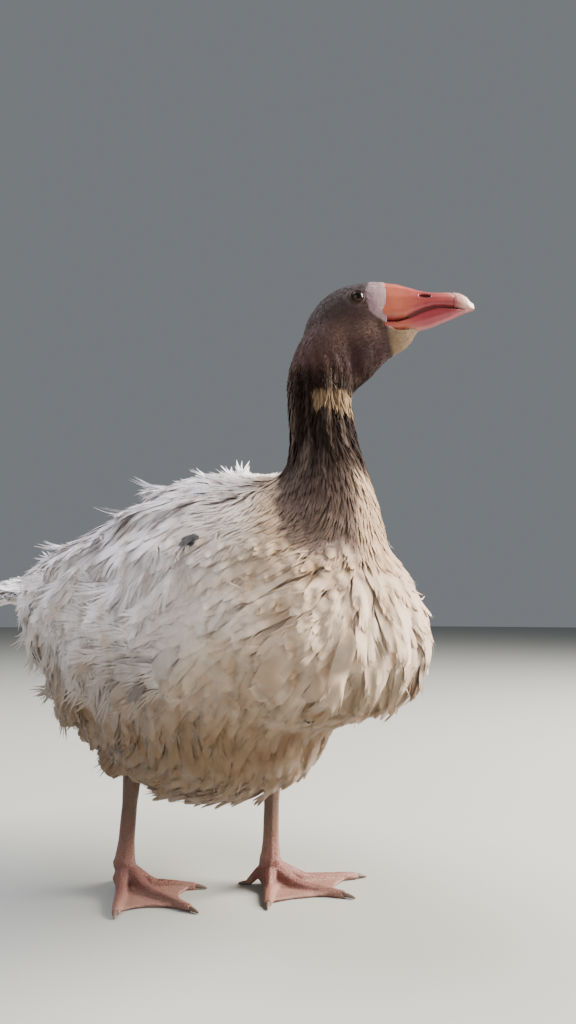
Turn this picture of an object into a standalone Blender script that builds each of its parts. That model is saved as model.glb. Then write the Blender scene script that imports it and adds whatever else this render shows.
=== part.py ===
"""A domestic goose of the curly-feathered kind, life size, standing still with its head turned to its left.

Frame: +X is the way the breast faces, +Y is the goose's left, +Z is up. The soles stand on Z = 0 and the
origin is the middle of the bounding box's base. Metres. The solids reach out to the tips of the feathers.
"""

import math
import random

import bmesh
import bpy
from mathutils import Euler, Matrix, Vector

# Trunk: an egg, full at the breast and drawn out to the rump, with its front end raised.
TRUNK_RADII = (0.226, 0.154, 0.138)
TRUNK_CENTRE = (-0.030, 0.0, 0.271)
TRUNK_PITCH = 17.0
TRUNK_BLUNT = 0.06
CROP_RADII = (0.098, 0.114, 0.097)
CROP_CENTRE = (0.124, 0.0, 0.272)

# Wings: a flattened egg on each side, from the shoulder to the folded tip over the rump.
WING_RADII = (0.168, 0.045, 0.076)
WING_CENTRE = (-0.092, 0.106, 0.282)
WING_TURN = (14.0, -8.0, 4.0)
WING_BLUNT = 0.10
WING_BEND = 1.3
FLIGHT_FEATHERS = 6

# Tail: a short fan of broad feathers, closed together, over a soft vent.
TAIL_ROOT = (-0.205, 0.0, 0.296)
TAIL_LENGTH = 0.212
TAIL_FEATHERS = 9
TAIL_SPREAD = 24.0
TAIL_PITCH = 3.0

# Neck: (x, y, z, radius) of the line that it follows, from inside the trunk to inside the head.
NECK_LINE = [
    (0.096, 0.000, 0.270, 0.105),
    (0.132, 0.000, 0.345, 0.076),
    (0.143, 0.001, 0.395, 0.045),
    (0.138, 0.000, 0.440, 0.0315),
    (0.133, -0.002, 0.480, 0.0320),
    (0.133, 0.000, 0.515, 0.0345),
    (0.143, 0.011, 0.548, 0.0280),
    (0.154, 0.022, 0.562, 0.0160),
]

# Head: its own frame has +X along the bill, with its origin at the middle of the bill's root.
HEAD_YAW = 45.0
HEAD_PITCH = 13.0
HEAD_SCALE = 1.07
BILL_ROOT = (0.1805, 0.0505, 0.5736)
EYE_CENTRE = (-0.0311, 0.0171, 0.0108)
EYE_RADIUS = 0.0078

# Legs: where the shank leaves the feathers, where it meets the foot,
# and how far and which way each toe goes.
HOCK_HEIGHT = 0.128
ANKLE_HEIGHT = 0.024
SHANK_RADIUS = 0.0078
FEET = {
    "right": {
        "side": -1,
        "ankle": (-0.091, -0.058),
        "hock": (-0.081, -0.056),
        "toes": {"inner": (43.0, 0.076), "middle": (4.0, 0.102), "outer": (-40.0, 0.078)},
        "hind_turn": 152.0,
    },
    "left": {
        "side": 1,
        "ankle": (0.011, 0.053),
        "hock": (0.022, 0.045),
        "toes": {"inner": (-46.0, 0.060), "middle": (20.0, 0.084), "outer": (60.0, 0.096)},
        "hind_turn": 214.0,
    },
}
TOE_RADIUS = 0.0052
WEB_THICKNESS = 0.0030
CLAW_LENGTH = 0.010

# Cuts that part the body: a point on each plane and the turn of its normal from +Z.
HEAD_CUT = ((0.131, 0.0, 0.502), (0.0, 8.0, 45.0))
NECK_CUT = ((0.118, 0.0, 0.410), (0.0, 34.0, 0.0))
CUT_GAP = 0.0003
FEATHER_GAP = 0.0005

# How many triangles each soft form is thinned to, and the voxel that melts its parts together.
BODY_TRIANGLES = 2500
HEAD_TRIANGLES = 820
WING_TRIANGLES = 620
TAIL_TRIANGLES = 560
THIGH_TRIANGLES = 240
FOOT_TRIANGLES = 300
BODY_VOXEL = 0.0036
HEAD_VOXEL = 0.0026
FOOT_VOXEL = 0.0013

# Each kind of piece: its colour, and how rough it is.
FINISHES = {
    "trunk": ((0.80, 0.78, 0.74), 0.85),
    "wing": ((0.82, 0.81, 0.79), 0.85),
    "tail": ((0.84, 0.83, 0.81), 0.85),
    "thigh": ((0.70, 0.64, 0.55), 0.88),
    "neck": ((0.19, 0.15, 0.13), 0.80),
    "head": ((0.17, 0.13, 0.11), 0.78),
    "eye": ((0.025, 0.013, 0.010), 0.08),
    "upper_bill": ((0.62, 0.17, 0.09), 0.38),
    "lower_bill": ((0.55, 0.11, 0.09), 0.40),
    "bill_nail": ((0.78, 0.46, 0.36), 0.35),
    "shank": ((0.42, 0.19, 0.16), 0.55),
    "foot": ((0.47, 0.21, 0.16), 0.52),
    "claw": ((0.16, 0.11, 0.09), 0.42),
}

chance = random.Random(11)


def clear_scene():
    for obj in list(bpy.data.objects):
        bpy.data.objects.remove(obj)


def link(name, mesh):
    obj = bpy.data.objects.new(name, mesh)
    bpy.context.scene.collection.objects.link(obj)
    return obj


def matrix_at(place, turn=(0.0, 0.0, 0.0)):
    return Matrix.Translation(place) @ Euler([math.radians(a) for a in turn]).to_matrix().to_4x4()


HEAD_FRAME = matrix_at(BILL_ROOT, (0.0, -HEAD_PITCH, HEAD_YAW)) @ Matrix.Scale(HEAD_SCALE, 4)
TRUNK_FRAME = matrix_at(TRUNK_CENTRE, (0.0, -TRUNK_PITCH, 0.0))


def to_object(bm, name):
    bmesh.ops.triangulate(bm, faces=bm.faces)
    mesh = bpy.data.meshes.new(name)
    bm.to_mesh(mesh)
    bm.free()
    return link(name, mesh)


def ball(name, radii, place=(0, 0, 0), turn=(0, 0, 0), frame=None, blunt=0.0, rings=16):
    """An ellipsoid with its poles on X. blunt above 0 makes its +X end fuller than its -X end."""
    bm = bmesh.new()
    bmesh.ops.create_uvsphere(bm, u_segments=rings + rings // 2, v_segments=rings, radius=1.0)
    bmesh.ops.rotate(bm, verts=bm.verts, matrix=Matrix.Rotation(math.pi / 2, 3, "Y"))
    for v in bm.verts:
        swell = 1.0 + blunt * v.co.x
        v.co = (v.co.x * radii[0], v.co.y * radii[1] * swell, v.co.z * radii[2] * swell)
    bmesh.ops.transform(bm, verts=bm.verts, matrix=(frame or Matrix()) @ matrix_at(place, turn))
    return to_object(bm, name)


def tube(name, line, resolution=3, smooth=True):
    """A round tube through (x, y, z, radius) points, as a mesh with closed ends."""
    curve = bpy.data.curves.new(name, "CURVE")
    curve.dimensions = "3D"
    curve.bevel_depth = 1.0
    curve.bevel_resolution = resolution
    curve.use_fill_caps = True
    curve.resolution_u = 3
    spline = curve.splines.new("NURBS" if smooth else "POLY")
    spline.points.add(len(line) - 1)
    for point, (x, y, z, radius) in zip(spline.points, line):
        point.co = (x, y, z, 1.0)
        point.radius = radius
    if smooth:
        spline.order_u = 4
        spline.use_endpoint_u = True
    guide = link(name + "_guide", curve)
    mesh = bpy.data.meshes.new_from_object(guide.evaluated_get(bpy.context.evaluated_depsgraph_get()))
    bpy.data.objects.remove(guide)
    bm = bmesh.new()
    bm.from_mesh(mesh)
    bmesh.ops.remove_doubles(bm, verts=bm.verts, dist=1e-5)
    bmesh.ops.recalc_face_normals(bm, faces=bm.faces)
    return to_object(bm, name)


def joined(name, pieces):
    """The pieces as one object, still as separate shells."""
    bm = bmesh.new()
    for piece in pieces:
        bm.from_mesh(piece.data)
        bpy.data.objects.remove(piece)
    return to_object(bm, name)


def evaluated(obj):
    """The object with its modifiers applied."""
    graph = bpy.context.evaluated_depsgraph_get()
    mesh = bpy.data.meshes.new_from_object(obj.evaluated_get(graph))
    obj.modifiers.clear()
    obj.data = mesh
    return obj


def moulded(obj, voxel, rounds, triangles):
    """Melts overlapping shells into one soft skin, then thins it to about that many triangles."""
    remesh = obj.modifiers.new("melt", "REMESH")
    remesh.mode = "VOXEL"
    remesh.voxel_size = voxel
    smooth = obj.modifiers.new("soften", "SMOOTH")
    smooth.factor = 0.5
    smooth.iterations = rounds
    evaluated(obj)
    count = sum(len(p.vertices) - 2 for p in obj.data.polygons)
    thin = obj.modifiers.new("thin", "DECIMATE")
    thin.ratio = triangles / count
    thin.use_collapse_triangulate = True
    return evaluated(obj)


def boolean(obj, other, operation):
    cut = obj.modifiers.new(operation, "BOOLEAN")
    cut.operation = operation
    cut.solver = "MANIFOLD"
    cut.object = other
    return evaluated(obj)


def copy_of(obj, name):
    return link(name, obj.data.copy())


def curve_between(stations):
    """A smooth function through (place, value) stations."""
    places = [s[0] for s in stations]
    values = [s[1] for s in stations]

    def slope(i):
        if i in (0, len(places) - 1):
            return 0.0
        return (values[i + 1] - values[i - 1]) / (places[i + 1] - places[i - 1])

    def at(place):
        place = min(max(place, places[0]), places[-1])
        i = max(k for k in range(len(places) - 1) if places[k] <= place)
        span = places[i + 1] - places[i]
        t = (place - places[i]) / span
        a = values[i] + slope(i) * span * t
        b = values[i + 1] - slope(i + 1) * span * (1 - t)
        ease = t * t * (3 - 2 * t)
        return a * (1 - ease) + b * ease

    return at


def loft(name, section, start, end, rows, columns, frame):
    """A closed form along X. section(x) gives its width, its low and high edge, and the share of its height
    at which it is widest."""
    bm = bmesh.new()
    rings = []
    for i in range(rows):
        x = start + (end - start) * math.sin(math.pi / 2 * i / (rows - 1))
        width, low, high, belt = section(x)
        widest = low + (high - low) * belt
        ring = []
        for j in range(columns):
            angle = 2 * math.pi * j / columns
            c, s = math.cos(angle), math.sin(angle)
            y = math.copysign(abs(c) ** 0.8, c) * width / 2
            z = widest + s * (high - widest if s > 0 else widest - low)
            ring.append(bm.verts.new((x, y, z)))
        rings.append(ring)
    for a, b in zip(rings, rings[1:]):
        for j in range(columns):
            k = (j + 1) % columns
            bm.faces.new((a[j], a[k], b[k], b[j]))
    bm.faces.new(rings[0])
    bm.faces.new(rings[-1])
    bmesh.ops.recalc_face_normals(bm, faces=bm.faces)
    bmesh.ops.transform(bm, verts=bm.verts, matrix=frame)
    return to_object(bm, name)


def grown(obj, by):
    """A copy that stands out by that much on every side, to cut a neighbour clear of the piece."""
    copy = copy_of(obj, "cutter")
    bm = bmesh.new()
    bm.from_mesh(copy.data)
    bm.normal_update()
    moves = [v.normal * by * min(v.calc_shell_factor(), 3.0) for v in bm.verts]
    for v, move in zip(bm.verts, moves):
        v.co += move
    bm.to_mesh(copy.data)
    bm.free()
    return copy


def clear_of(obj, *others, gap=CUT_GAP):
    """Cuts each other piece out of obj, with the gap that touching pieces keep. The second, closer cut
    catches the folds between locks, where a copy that is grown by the whole gap turns over itself."""
    for other in others:
        for by in (gap, gap / 10):
            cutter = grown(other, by)
            boolean(obj, cutter, "DIFFERENCE")
            bpy.data.objects.remove(cutter)
    return obj


def slab(place, turn, above=True, size=1.2):
    """A large box whose near face passes through place, square to the turned Z axis."""
    bm = bmesh.new()
    bmesh.ops.create_cube(bm, size=size)
    side = 1 if above else -1
    bmesh.ops.translate(bm, verts=bm.verts, vec=(0, 0, side * (size / 2 + CUT_GAP / 2)))
    bmesh.ops.transform(bm, verts=bm.verts, matrix=matrix_at(place, turn))
    return to_object(bm, "slab")


def split(obj, name, place, turn):
    """Takes what lies above a plane off obj as a new piece, and leaves the rest."""
    piece = copy_of(obj, name)
    for target, above in ((piece, True), (obj, False)):
        cutter = slab(place, turn, above)
        boolean(target, cutter, "INTERSECT")
        bpy.data.objects.remove(cutter)
    return piece


def one_shell(obj):
    """Keeps the largest closed shell, as a cut can leave crumbs."""
    bm = bmesh.new()
    bm.from_mesh(obj.data)
    left = set(bm.verts)
    shells = []
    while left:
        found = {left.pop()}
        edge = list(found)
        while edge:
            near = {e.other_vert(v) for v in edge for e in v.link_edges} - found
            found |= near
            edge = list(near)
        left -= found
        shells.append(found)
    keep = max(shells, key=len)
    bmesh.ops.delete(bm, geom=[v for v in bm.verts if v not in keep], context="VERTS")
    bmesh.ops.dissolve_degenerate(bm, dist=2e-5, edges=bm.edges)
    bmesh.ops.triangulate(bm, faces=bm.faces)
    bm.to_mesh(obj.data)
    bm.free()
    return obj


# Locks of feathers: flattened balls that lie along a form and lift a little at their tips.


def lock(spot, out, lie, size, lift):
    """One lock of a length, width and thickness, rooted at spot on a surface that faces out."""
    z = out.normalized()
    x = (lie - z * lie.dot(z)).normalized()
    frame = Matrix((x, z.cross(x), z)).transposed().to_4x4()
    frame.translation = spot
    length, width, thick = (s * chance.uniform(0.82, 1.18) for s in size)
    radii = (length / 2, width / 2, thick / 2)
    return ball("lock", radii, (length * 0.36, 0, 0), (0, -lift, 0), frame, rings=8)


def egg_spot(radii, blunt, along, around):
    """A point of a ball, with the way it faces, along from -1 to 1 and around in degrees from +Y."""
    c, s = math.cos(math.radians(around)), math.sin(math.radians(around))
    swell = (1.0 + blunt * along) * math.sqrt(1.0 - along * along)
    spot = Vector((along * radii[0], c * swell * radii[1], s * swell * radii[2]))
    return spot, Vector((along / radii[0], c * swell / radii[1], s * swell / radii[2]))


def trunk_lie(spot):
    """Which way the feathers run: back along the spine, down the breast, and slanting down the sides."""
    front = min(max((spot.x - 0.02) / 0.14, 0.0), 1.0)
    low = min(max((0.36 - spot.z) / 0.14, 0.0), 1.0)
    return Vector((-1.0 + 0.95 * front, 0.0, -0.12 - 0.75 * low - 0.9 * front))


def bare(spot):
    """Whether a spot on the trunk is hidden by a folded wing or lies at the foot of the neck."""
    winged = abs(spot.y) > 0.10 and -0.23 < spot.x < -0.01 and 0.21 < spot.z < 0.36
    return winged or (spot.x > 0.07 and spot.z > 0.335)


def trunk_locks():
    """Rows of locks on the trunk, long and loose on the flanks, broad and flat on the breast."""
    locks = []
    rows = 9
    for i in range(rows):
        along = 0.90 - 1.66 * i / (rows - 1)
        columns = 8 + round(9 * math.sqrt(1 - along * along))
        for j in range(columns):
            around = 360.0 * (j + 0.5 * (i % 2) + chance.uniform(-0.2, 0.2)) / columns
            spot, out = egg_spot(TRUNK_RADII, TRUNK_BLUNT, along, around)
            spot = TRUNK_FRAME @ spot
            out = TRUNK_FRAME.to_3x3() @ out
            lie = trunk_lie(spot) + Vector((0, chance.uniform(-0.3, 0.3), 0))
            if not bare(spot):
                locks.append(lock(spot, out, lie, (0.080, 0.033, 0.0145), chance.uniform(3, 8)))
    for height in (0.15, -0.15, -0.5):
        for turn in range(-75, 76, 25):
            reach = math.sqrt(1 - height * height)
            spin = math.radians(turn + 12 * (height < 0.0))
            out = Vector((math.cos(spin) * reach, math.sin(spin) * reach, height))
            spot = Vector(CROP_CENTRE) + Vector([a * b for a, b in zip(out, CROP_RADII)])
            locks.append(lock(spot, out, Vector((0, 0, -1)), (0.064, 0.030, 0.016), chance.uniform(0, 4)))
    return locks


def trunk_shells():
    egg = ball("trunk_egg", TRUNK_RADII, frame=TRUNK_FRAME, blunt=TRUNK_BLUNT, rings=24)
    crop = ball("crop", CROP_RADII, CROP_CENTRE)
    belly = ball("belly", (0.155, 0.104, 0.092), (-0.032, 0.0, 0.180))
    vent = ball("vent", (0.092, 0.086, 0.072), (-0.178, 0.0, 0.216), (0.0, 22.0, 0.0))
    rump = ball("rump", (0.098, 0.094, 0.080), (-0.200, 0.0, 0.268), (0.0, -8.0, 0.0))
    shoulders = ball("shoulders", (0.100, 0.098, 0.056), (0.004, 0.0, 0.370), (0.0, -4.0, 0.0))
    return [egg, crop, belly, vent, rump, shoulders]


def wing(side):
    """A folded wing: a soft outer face in rows of locks, and long flight feathers over the rump.
    It is made flat, then bent round the trunk."""
    pieces = [ball("wing_egg", WING_RADII, blunt=WING_BLUNT, rings=20)]
    for i in range(6):
        for j in range(5):
            along = 0.66 - 1.40 * i / 5
            around = side * (-62.0 + 124.0 * (j + 0.5 * (i % 2)) / 4.5) + (0.0 if side > 0 else 180.0)
            spot, out = egg_spot(WING_RADII, WING_BLUNT, along, around)
            lie = Vector((-1.0, 0.0, -0.45 - 0.12 * j))
            pieces.append(lock(spot, out, lie, (0.080, 0.030, 0.0135), chance.uniform(3, 8)))
    for i in range(FLIGHT_FEATHERS):
        share = i / (FLIGHT_FEATHERS - 1)
        root = (-0.090 - 0.016 * share, side * (0.010 - 0.006 * share), 0.048 - 0.096 * share)
        turn = (side * (40.0 - 30.0 * share), -3.0 - 15.0 * share, -side * (4.0 - 4.0 * share))
        length = 0.112 - 0.034 * share
        blade = matrix_at(root, turn)
        pieces.append(ball("flight_feather", (length / 2, 0.014, 0.0058), (-length / 2, 0, 0), frame=blade))
    whole = joined("wing", pieces)
    for v in whole.data.vertices:
        v.co.y -= side * WING_BEND * v.co.x ** 2
    x, y, z = WING_CENTRE
    roll, pitch, yaw = WING_TURN
    whole.data.transform(matrix_at((x, side * y, z), (-side * roll, pitch, side * yaw)))
    return moulded(whole, BODY_VOXEL, 3, WING_TRIANGLES)


def tail():
    """The tail's feathers, each a long flat blade turned out a little more than the last."""
    pieces = [ball("tail_root", (0.062, 0.058, 0.034), (-0.026, 0.0, -0.004), frame=matrix_at(TAIL_ROOT))]
    for i in range(TAIL_FEATHERS):
        share = 2 * i / (TAIL_FEATHERS - 1) - 1
        frame = matrix_at(TAIL_ROOT, (0.0, TAIL_PITCH, -share * TAIL_SPREAD))
        length = TAIL_LENGTH * (1 - 0.16 * share * share)
        lift = 0.010 - 0.016 * share * share + 0.003 * (i % 2)
        turn = (12 * share, chance.uniform(-2, 2), 0)
        place = (-length / 2, 0, lift)
        pieces.append(ball("tail_feather", (length / 2, 0.0185, 0.0062), place, turn, frame))
    return moulded(joined("tail", pieces), BODY_VOXEL, 2, TAIL_TRIANGLES)


def thigh(side, foot):
    """The feathered drumstick, down to the hock, with its hem of loose locks."""
    x, y = foot["hock"]
    frame = matrix_at((x + 0.006, y + side * 0.006, HOCK_HEIGHT + 0.034), (side * -6.0, 10.0, 0.0))
    radii = (0.050, 0.036, 0.058)
    pieces = [ball("thigh_egg", radii, frame=frame)]
    for j in range(9):
        angle = 2 * math.pi * j / 9
        out = Vector((math.cos(angle), math.sin(angle), -0.35))
        spot = Vector((out.x * radii[0] * 0.86, out.y * radii[1] * 0.86, -0.018))
        pieces.append(lock(frame @ spot, frame.to_3x3() @ out, Vector((0, 0, -1)), (0.046, 0.024, 0.014), 6))
    return moulded(joined("thigh", pieces), BODY_VOXEL, 3, THIGH_TRIANGLES)


def head_shells():
    """Brain case, face, brows, cheeks and throat, in the head's own frame."""
    forms = [
        ((0.0410, 0.0250, 0.0285), (-0.0360, 0.0, 0.0025), (0, -9, 0)),
        ((0.0280, 0.0174, 0.0275), (-0.0130, 0.0, 0.0020), (0, 4, 0)),
        ((0.0400, 0.0250, 0.0340), (-0.0470, 0.0, -0.0220), (0, 20, 0)),
        ((0.0300, 0.0150, 0.0175), (-0.0110, 0.0, -0.0255), (0, -10, 0)),
        ((0.0330, 0.0190, 0.0165), (-0.0380, 0.0, -0.0410), (0, -38, 0)),
        ((0.0290, 0.0230, 0.0330), (-0.0560, 0.0, -0.0135), (0, 0, 0)),
    ]
    return [ball("head_form", radii, place, turn, HEAD_FRAME) for radii, place, turn in forms]


def body_pieces():
    """Trunk, neck and head. The neck is melted into the trunk and into the head, and the cuts part them."""
    neck_tube = tube("neck_tube", NECK_LINE, resolution=6)
    skull = joined("head_form", [*head_shells(), copy_of(neck_tube, "neck_copy")])
    skull = moulded(skull, HEAD_VOXEL, 3, HEAD_TRIANGLES)
    head = split(skull, "head", *HEAD_CUT)
    bpy.data.objects.remove(skull)
    trunk = joined("body_form", [*trunk_shells(), *trunk_locks(), neck_tube])
    trunk = moulded(trunk, BODY_VOXEL, 4, BODY_TRIANGLES)
    stump = split(trunk, "stump", *HEAD_CUT)
    bpy.data.objects.remove(stump)
    neck = split(trunk, "neck", *NECK_CUT)
    return {"trunk": trunk, "neck": neck, "head": head}


# Bill: two lofted horn-covered jaws that meet along the mouth's wavy edge, with a nail at the tip.

CULMEN = curve_between([
    (-0.012, 0.0250), (0.004, 0.0225), (0.018, 0.0160), (0.030, 0.0092),
    (0.043, 0.0050), (0.057, 0.0016), (0.066, -0.0034), (0.072, -0.0105),
])
MOUTH = curve_between([
    (-0.012, -0.0125), (-0.003, -0.0140), (0.005, -0.0152), (0.017, -0.0118),
    (0.030, -0.0094), (0.040, -0.0095), (0.054, -0.0125), (0.072, -0.0150),
])
CHIN = curve_between([
    (-0.012, -0.0230), (0.011, -0.0245), (0.024, -0.0245),
    (0.040, -0.0225), (0.052, -0.0185), (0.064, -0.0160),
])
BILL_WIDTH = curve_between([
    (-0.012, 0.0352), (-0.004, 0.0334), (0.006, 0.0302), (0.016, 0.0274), (0.030, 0.0245), (0.052, 0.0215),
    (0.062, 0.0180), (0.068, 0.0125), (0.072, 0.0040),
])
BILL_REACH = 0.0720
JAW_REACH = 0.0640
BILL_SET_IN = -0.012
NAIL_START = 0.0560


def upper_bill():
    def section(x):
        return BILL_WIDTH(x), MOUTH(x) + CUT_GAP / 2, CULMEN(x), 0.22

    return loft("upper_bill", section, BILL_SET_IN, BILL_REACH, 14, 14, HEAD_FRAME)


def lower_bill():
    def section(x):
        return BILL_WIDTH(x + 0.004) * 0.86, CHIN(x), MOUTH(x) - CUT_GAP / 2, 0.82

    return loft("lower_bill", section, BILL_SET_IN, JAW_REACH, 11, 12, HEAD_FRAME)


def nostril(side):
    """A slot through the bill's side, longer than it is high."""
    place = (0.0300, side * 0.0105, 0.0022)
    return ball("nostril", (0.0062, 0.0060, 0.0021), place, (0, 14, 0), HEAD_FRAME, rings=6)


def bill_pieces():
    upper = upper_bill()
    for side in (-1, 1):
        slot = nostril(side)
        boolean(upper, slot, "DIFFERENCE")
        bpy.data.objects.remove(slot)
    nail_cut = HEAD_FRAME @ Vector((NAIL_START, 0.0, 0.0))
    nail = split(upper, "bill_nail", nail_cut, (0.0, 90.0 - HEAD_PITCH + 14.0, HEAD_YAW))
    return {"upper_bill": upper, "lower_bill": clear_of(lower_bill(), upper, nail), "bill_nail": nail}


def eye(side):
    place = (EYE_CENTRE[0], side * EYE_CENTRE[1], EYE_CENTRE[2])
    return ball("eye", (EYE_RADIUS,) * 3, place, frame=HEAD_FRAME, rings=8)


# Legs: a scaly shank on a webbed foot, with a claw on every toe.


def toe_line(foot, heading, length):
    """Points of a toe from the ankle down to the floor and out to its tip, as (x, y, z, radius)."""
    ax, ay = foot["ankle"]
    angle = math.radians(heading)
    steps = [(0.0, ANKLE_HEIGHT, 1.45), (0.15, 0.0160, 1.30), (0.34, 0.0056, 1.14), (0.50, 0.0040, 0.98),
             (0.60, 0.0039, 1.12), (0.74, 0.0034, 0.88), (0.84, 0.0035, 1.00), (1.0, 0.0029, 0.72)]
    line = []
    for share, height, thick in steps:
        reach = share * length
        line.append((ax + reach * math.cos(angle), ay + reach * math.sin(angle), height, TOE_RADIUS * thick))
    return line


def along(line, share):
    """The point that far along a line of points, as a Vector."""
    place = min(max(share, 0.0), 1.0) * (len(line) - 1)
    i = min(int(place), len(line) - 2)
    return Vector(line[i][:3]).lerp(Vector(line[i + 1][:3]), place - i)


def web(line_a, line_b):
    """The skin between two toes, with a front edge that is drawn in between their tips."""
    rows, columns = 12, 8
    bm = bmesh.new()
    grid = []
    for i in range(rows + 1):
        row = []
        for j in range(columns + 1):
            across = j / columns
            reach = (0.06 + 0.88 * i / rows) * (1 - 0.17 * math.sin(math.pi * across) * i / rows)
            point = along(line_a, reach).lerp(along(line_b, reach), across)
            point.z = max(point.z - 0.004 * math.sin(math.pi * across), WEB_THICKNESS * 0.62)
            row.append(bm.verts.new(point))
        grid.append(row)
    for a, b in zip(grid, grid[1:]):
        for j in range(columns):
            bm.faces.new((a[j], a[j + 1], b[j + 1], b[j]))
    bmesh.ops.recalc_face_normals(bm, faces=bm.faces)
    obj = to_object(bm, "web")
    wall = obj.modifiers.new("wall", "SOLIDIFY")
    wall.thickness = WEB_THICKNESS
    wall.offset = 0.0
    return evaluated(obj)


def hind_toe_line(foot):
    ax, ay = foot["ankle"]
    angle = math.radians(foot["hind_turn"])
    steps = [(0.0, 0.026, 1.1), (0.010, 0.017, 0.95), (0.017, 0.008, 0.84), (0.024, 0.0022, 0.74)]
    return [(ax + d * math.cos(angle), ay + d * math.sin(angle), h, TOE_RADIUS * r) for d, h, r in steps]


def claw(line, name):
    """A short horn tip that carries a toe's line on and curves down to the floor."""
    end = Vector(line[-1][:3])
    ahead = end - Vector(line[-2][:3])
    ahead.z = 0.0
    ahead.normalize()
    root = end - ahead * 0.004
    points = []
    steps = ((0.0, 0.0, 0.0024), (0.45, 0.0006, 0.0021), (0.8, 0.0014, 0.0014), (1.0, 0.0022, 0.0007))
    for share, drop, radius in steps:
        place = root + ahead * (0.004 + CLAW_LENGTH) * share
        points.append((place.x, place.y, max(root.z + 0.0006 - drop, radius + 0.0002), radius))
    return tube(name, points, resolution=1, smooth=False)


def shank(foot, name):
    """The bare part of the leg, thicker at the hock and above the foot."""
    (ax, ay), (hx, hy) = foot["ankle"], foot["hock"]
    line = []
    steps = ((0.0, 1.45), (0.10, 1.28), (0.25, 1.05), (0.60, 0.98), (0.82, 1.15), (0.95, 1.35), (1.1, 1.30))
    for share, thick in steps:
        height = ANKLE_HEIGHT - 0.002 + (HOCK_HEIGHT - ANKLE_HEIGHT) * share
        line.append((ax + (hx - ax) * share, ay + (hy - ay) * share, height, SHANK_RADIUS * thick))
    return tube(name, line, resolution=2, smooth=False)


def leg_pieces(which):
    """A foot, its claws and its shank, with the foot cut level where it meets the floor."""
    foot = FEET[which]
    lines = {name: toe_line(foot, *toe) for name, toe in foot["toes"].items()}
    hind = hind_toe_line(foot)
    shells = [tube("toe", line) for line in [*lines.values(), hind]]
    shells.append(web(lines["inner"], lines["middle"]))
    shells.append(web(lines["middle"], lines["outer"]))
    shells.append(ball("ankle", (0.0125, 0.0110, 0.0125), (*foot["ankle"], ANKLE_HEIGHT + 0.002)))
    shells.append(ball("pad", (0.0130, 0.0105, 0.0120), (*foot["ankle"], 0.0100)))
    sole = moulded(joined(f"foot_{which}", shells), FOOT_VOXEL, 2, FOOT_TRIANGLES)
    floor = slab((0.0, 0.0, -CUT_GAP / 2), (0, 0, 0), above=True)
    boolean(sole, floor, "INTERSECT")
    bpy.data.objects.remove(floor)
    claws = {f"claw_{which}_{name}": claw(line, "claw") for name, line in [*lines.items(), ("hind", hind)]}
    return sole, shank(foot, "shank"), claws


def dress(pieces):
    """Names each piece, gives it its own finish and round shading, and files it under goose."""
    home = bpy.data.collections.new("goose")
    bpy.context.scene.collection.children.link(home)
    for name, piece in pieces.items():
        piece.name = name
        piece.data.name = name
        kind = name if name in FINISHES else name.split("_")[0]
        colour, roughness = FINISHES[kind]
        finish = bpy.data.materials.new(f"{name}_finish")
        finish.use_nodes = True
        shader = finish.node_tree.nodes["Principled BSDF"]
        shader.inputs["Base Color"].default_value = (*colour, 1.0)
        shader.inputs["Roughness"].default_value = roughness
        shader.inputs["Metallic"].default_value = 0.0
        piece.data.materials.append(finish)
        piece.data.shade_smooth()
        piece.data.set_sharp_from_angle(angle=math.radians(50))
        bpy.context.scene.collection.objects.unlink(piece)
        home.objects.link(piece)


def centre(pieces):
    """Moves the whole goose so that the middle of its bounding box stands over the origin."""
    spots = [v.co for piece in pieces.values() for v in piece.data.vertices]
    middle = [(min(s[axis] for s in spots) + max(s[axis] for s in spots)) / 2 for axis in (0, 1)]
    floor = min(s.z for s in spots)
    for piece in pieces.values():
        piece.data.transform(Matrix.Translation((-middle[0], -middle[1], -floor)))


def main():
    clear_scene()
    pieces = body_pieces()
    pieces.update(bill_pieces())
    pieces["tail"] = tail()
    trunk = pieces["trunk"]
    for which, foot in FEET.items():
        sole, shin, claws = leg_pieces(which)
        side = foot["side"]
        pieces[f"eye_{which}"] = eye(side)
        outer = clear_of(wing(side), trunk, pieces["neck"], gap=FEATHER_GAP)
        pieces[f"wing_{which}"] = outer
        pieces[f"thigh_{which}"] = clear_of(thigh(side, foot), trunk, shin, outer, gap=FEATHER_GAP)
        pieces[f"foot_{which}"] = clear_of(sole, shin, *claws.values())
        pieces[f"shank_{which}"] = shin
        pieces.update(claws)
    clear_of(pieces["tail"], trunk, pieces["wing_left"], pieces["wing_right"], gap=FEATHER_GAP)
    clear_of(trunk, pieces["shank_left"], pieces["shank_right"])
    clear_of(pieces["head"], *(pieces[n] for n in ("upper_bill", "lower_bill", "eye_left", "eye_right")))
    for piece in pieces.values():
        one_shell(piece)
    centre(pieces)
    dress(pieces)


main()
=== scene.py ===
"""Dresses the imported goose: one skin over its flesh, horn on its bill, scales on its legs, and a full coat.

Metres. +X is the way the breast faces, +Y is the goose's left, +Z is up, and the soles stand on Z = 0.
"""

import math

import bmesh
import bpy
import numpy as np
from mathutils import Euler, Matrix, Vector, kdtree
from mathutils.bvhtree import BVHTree


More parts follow.
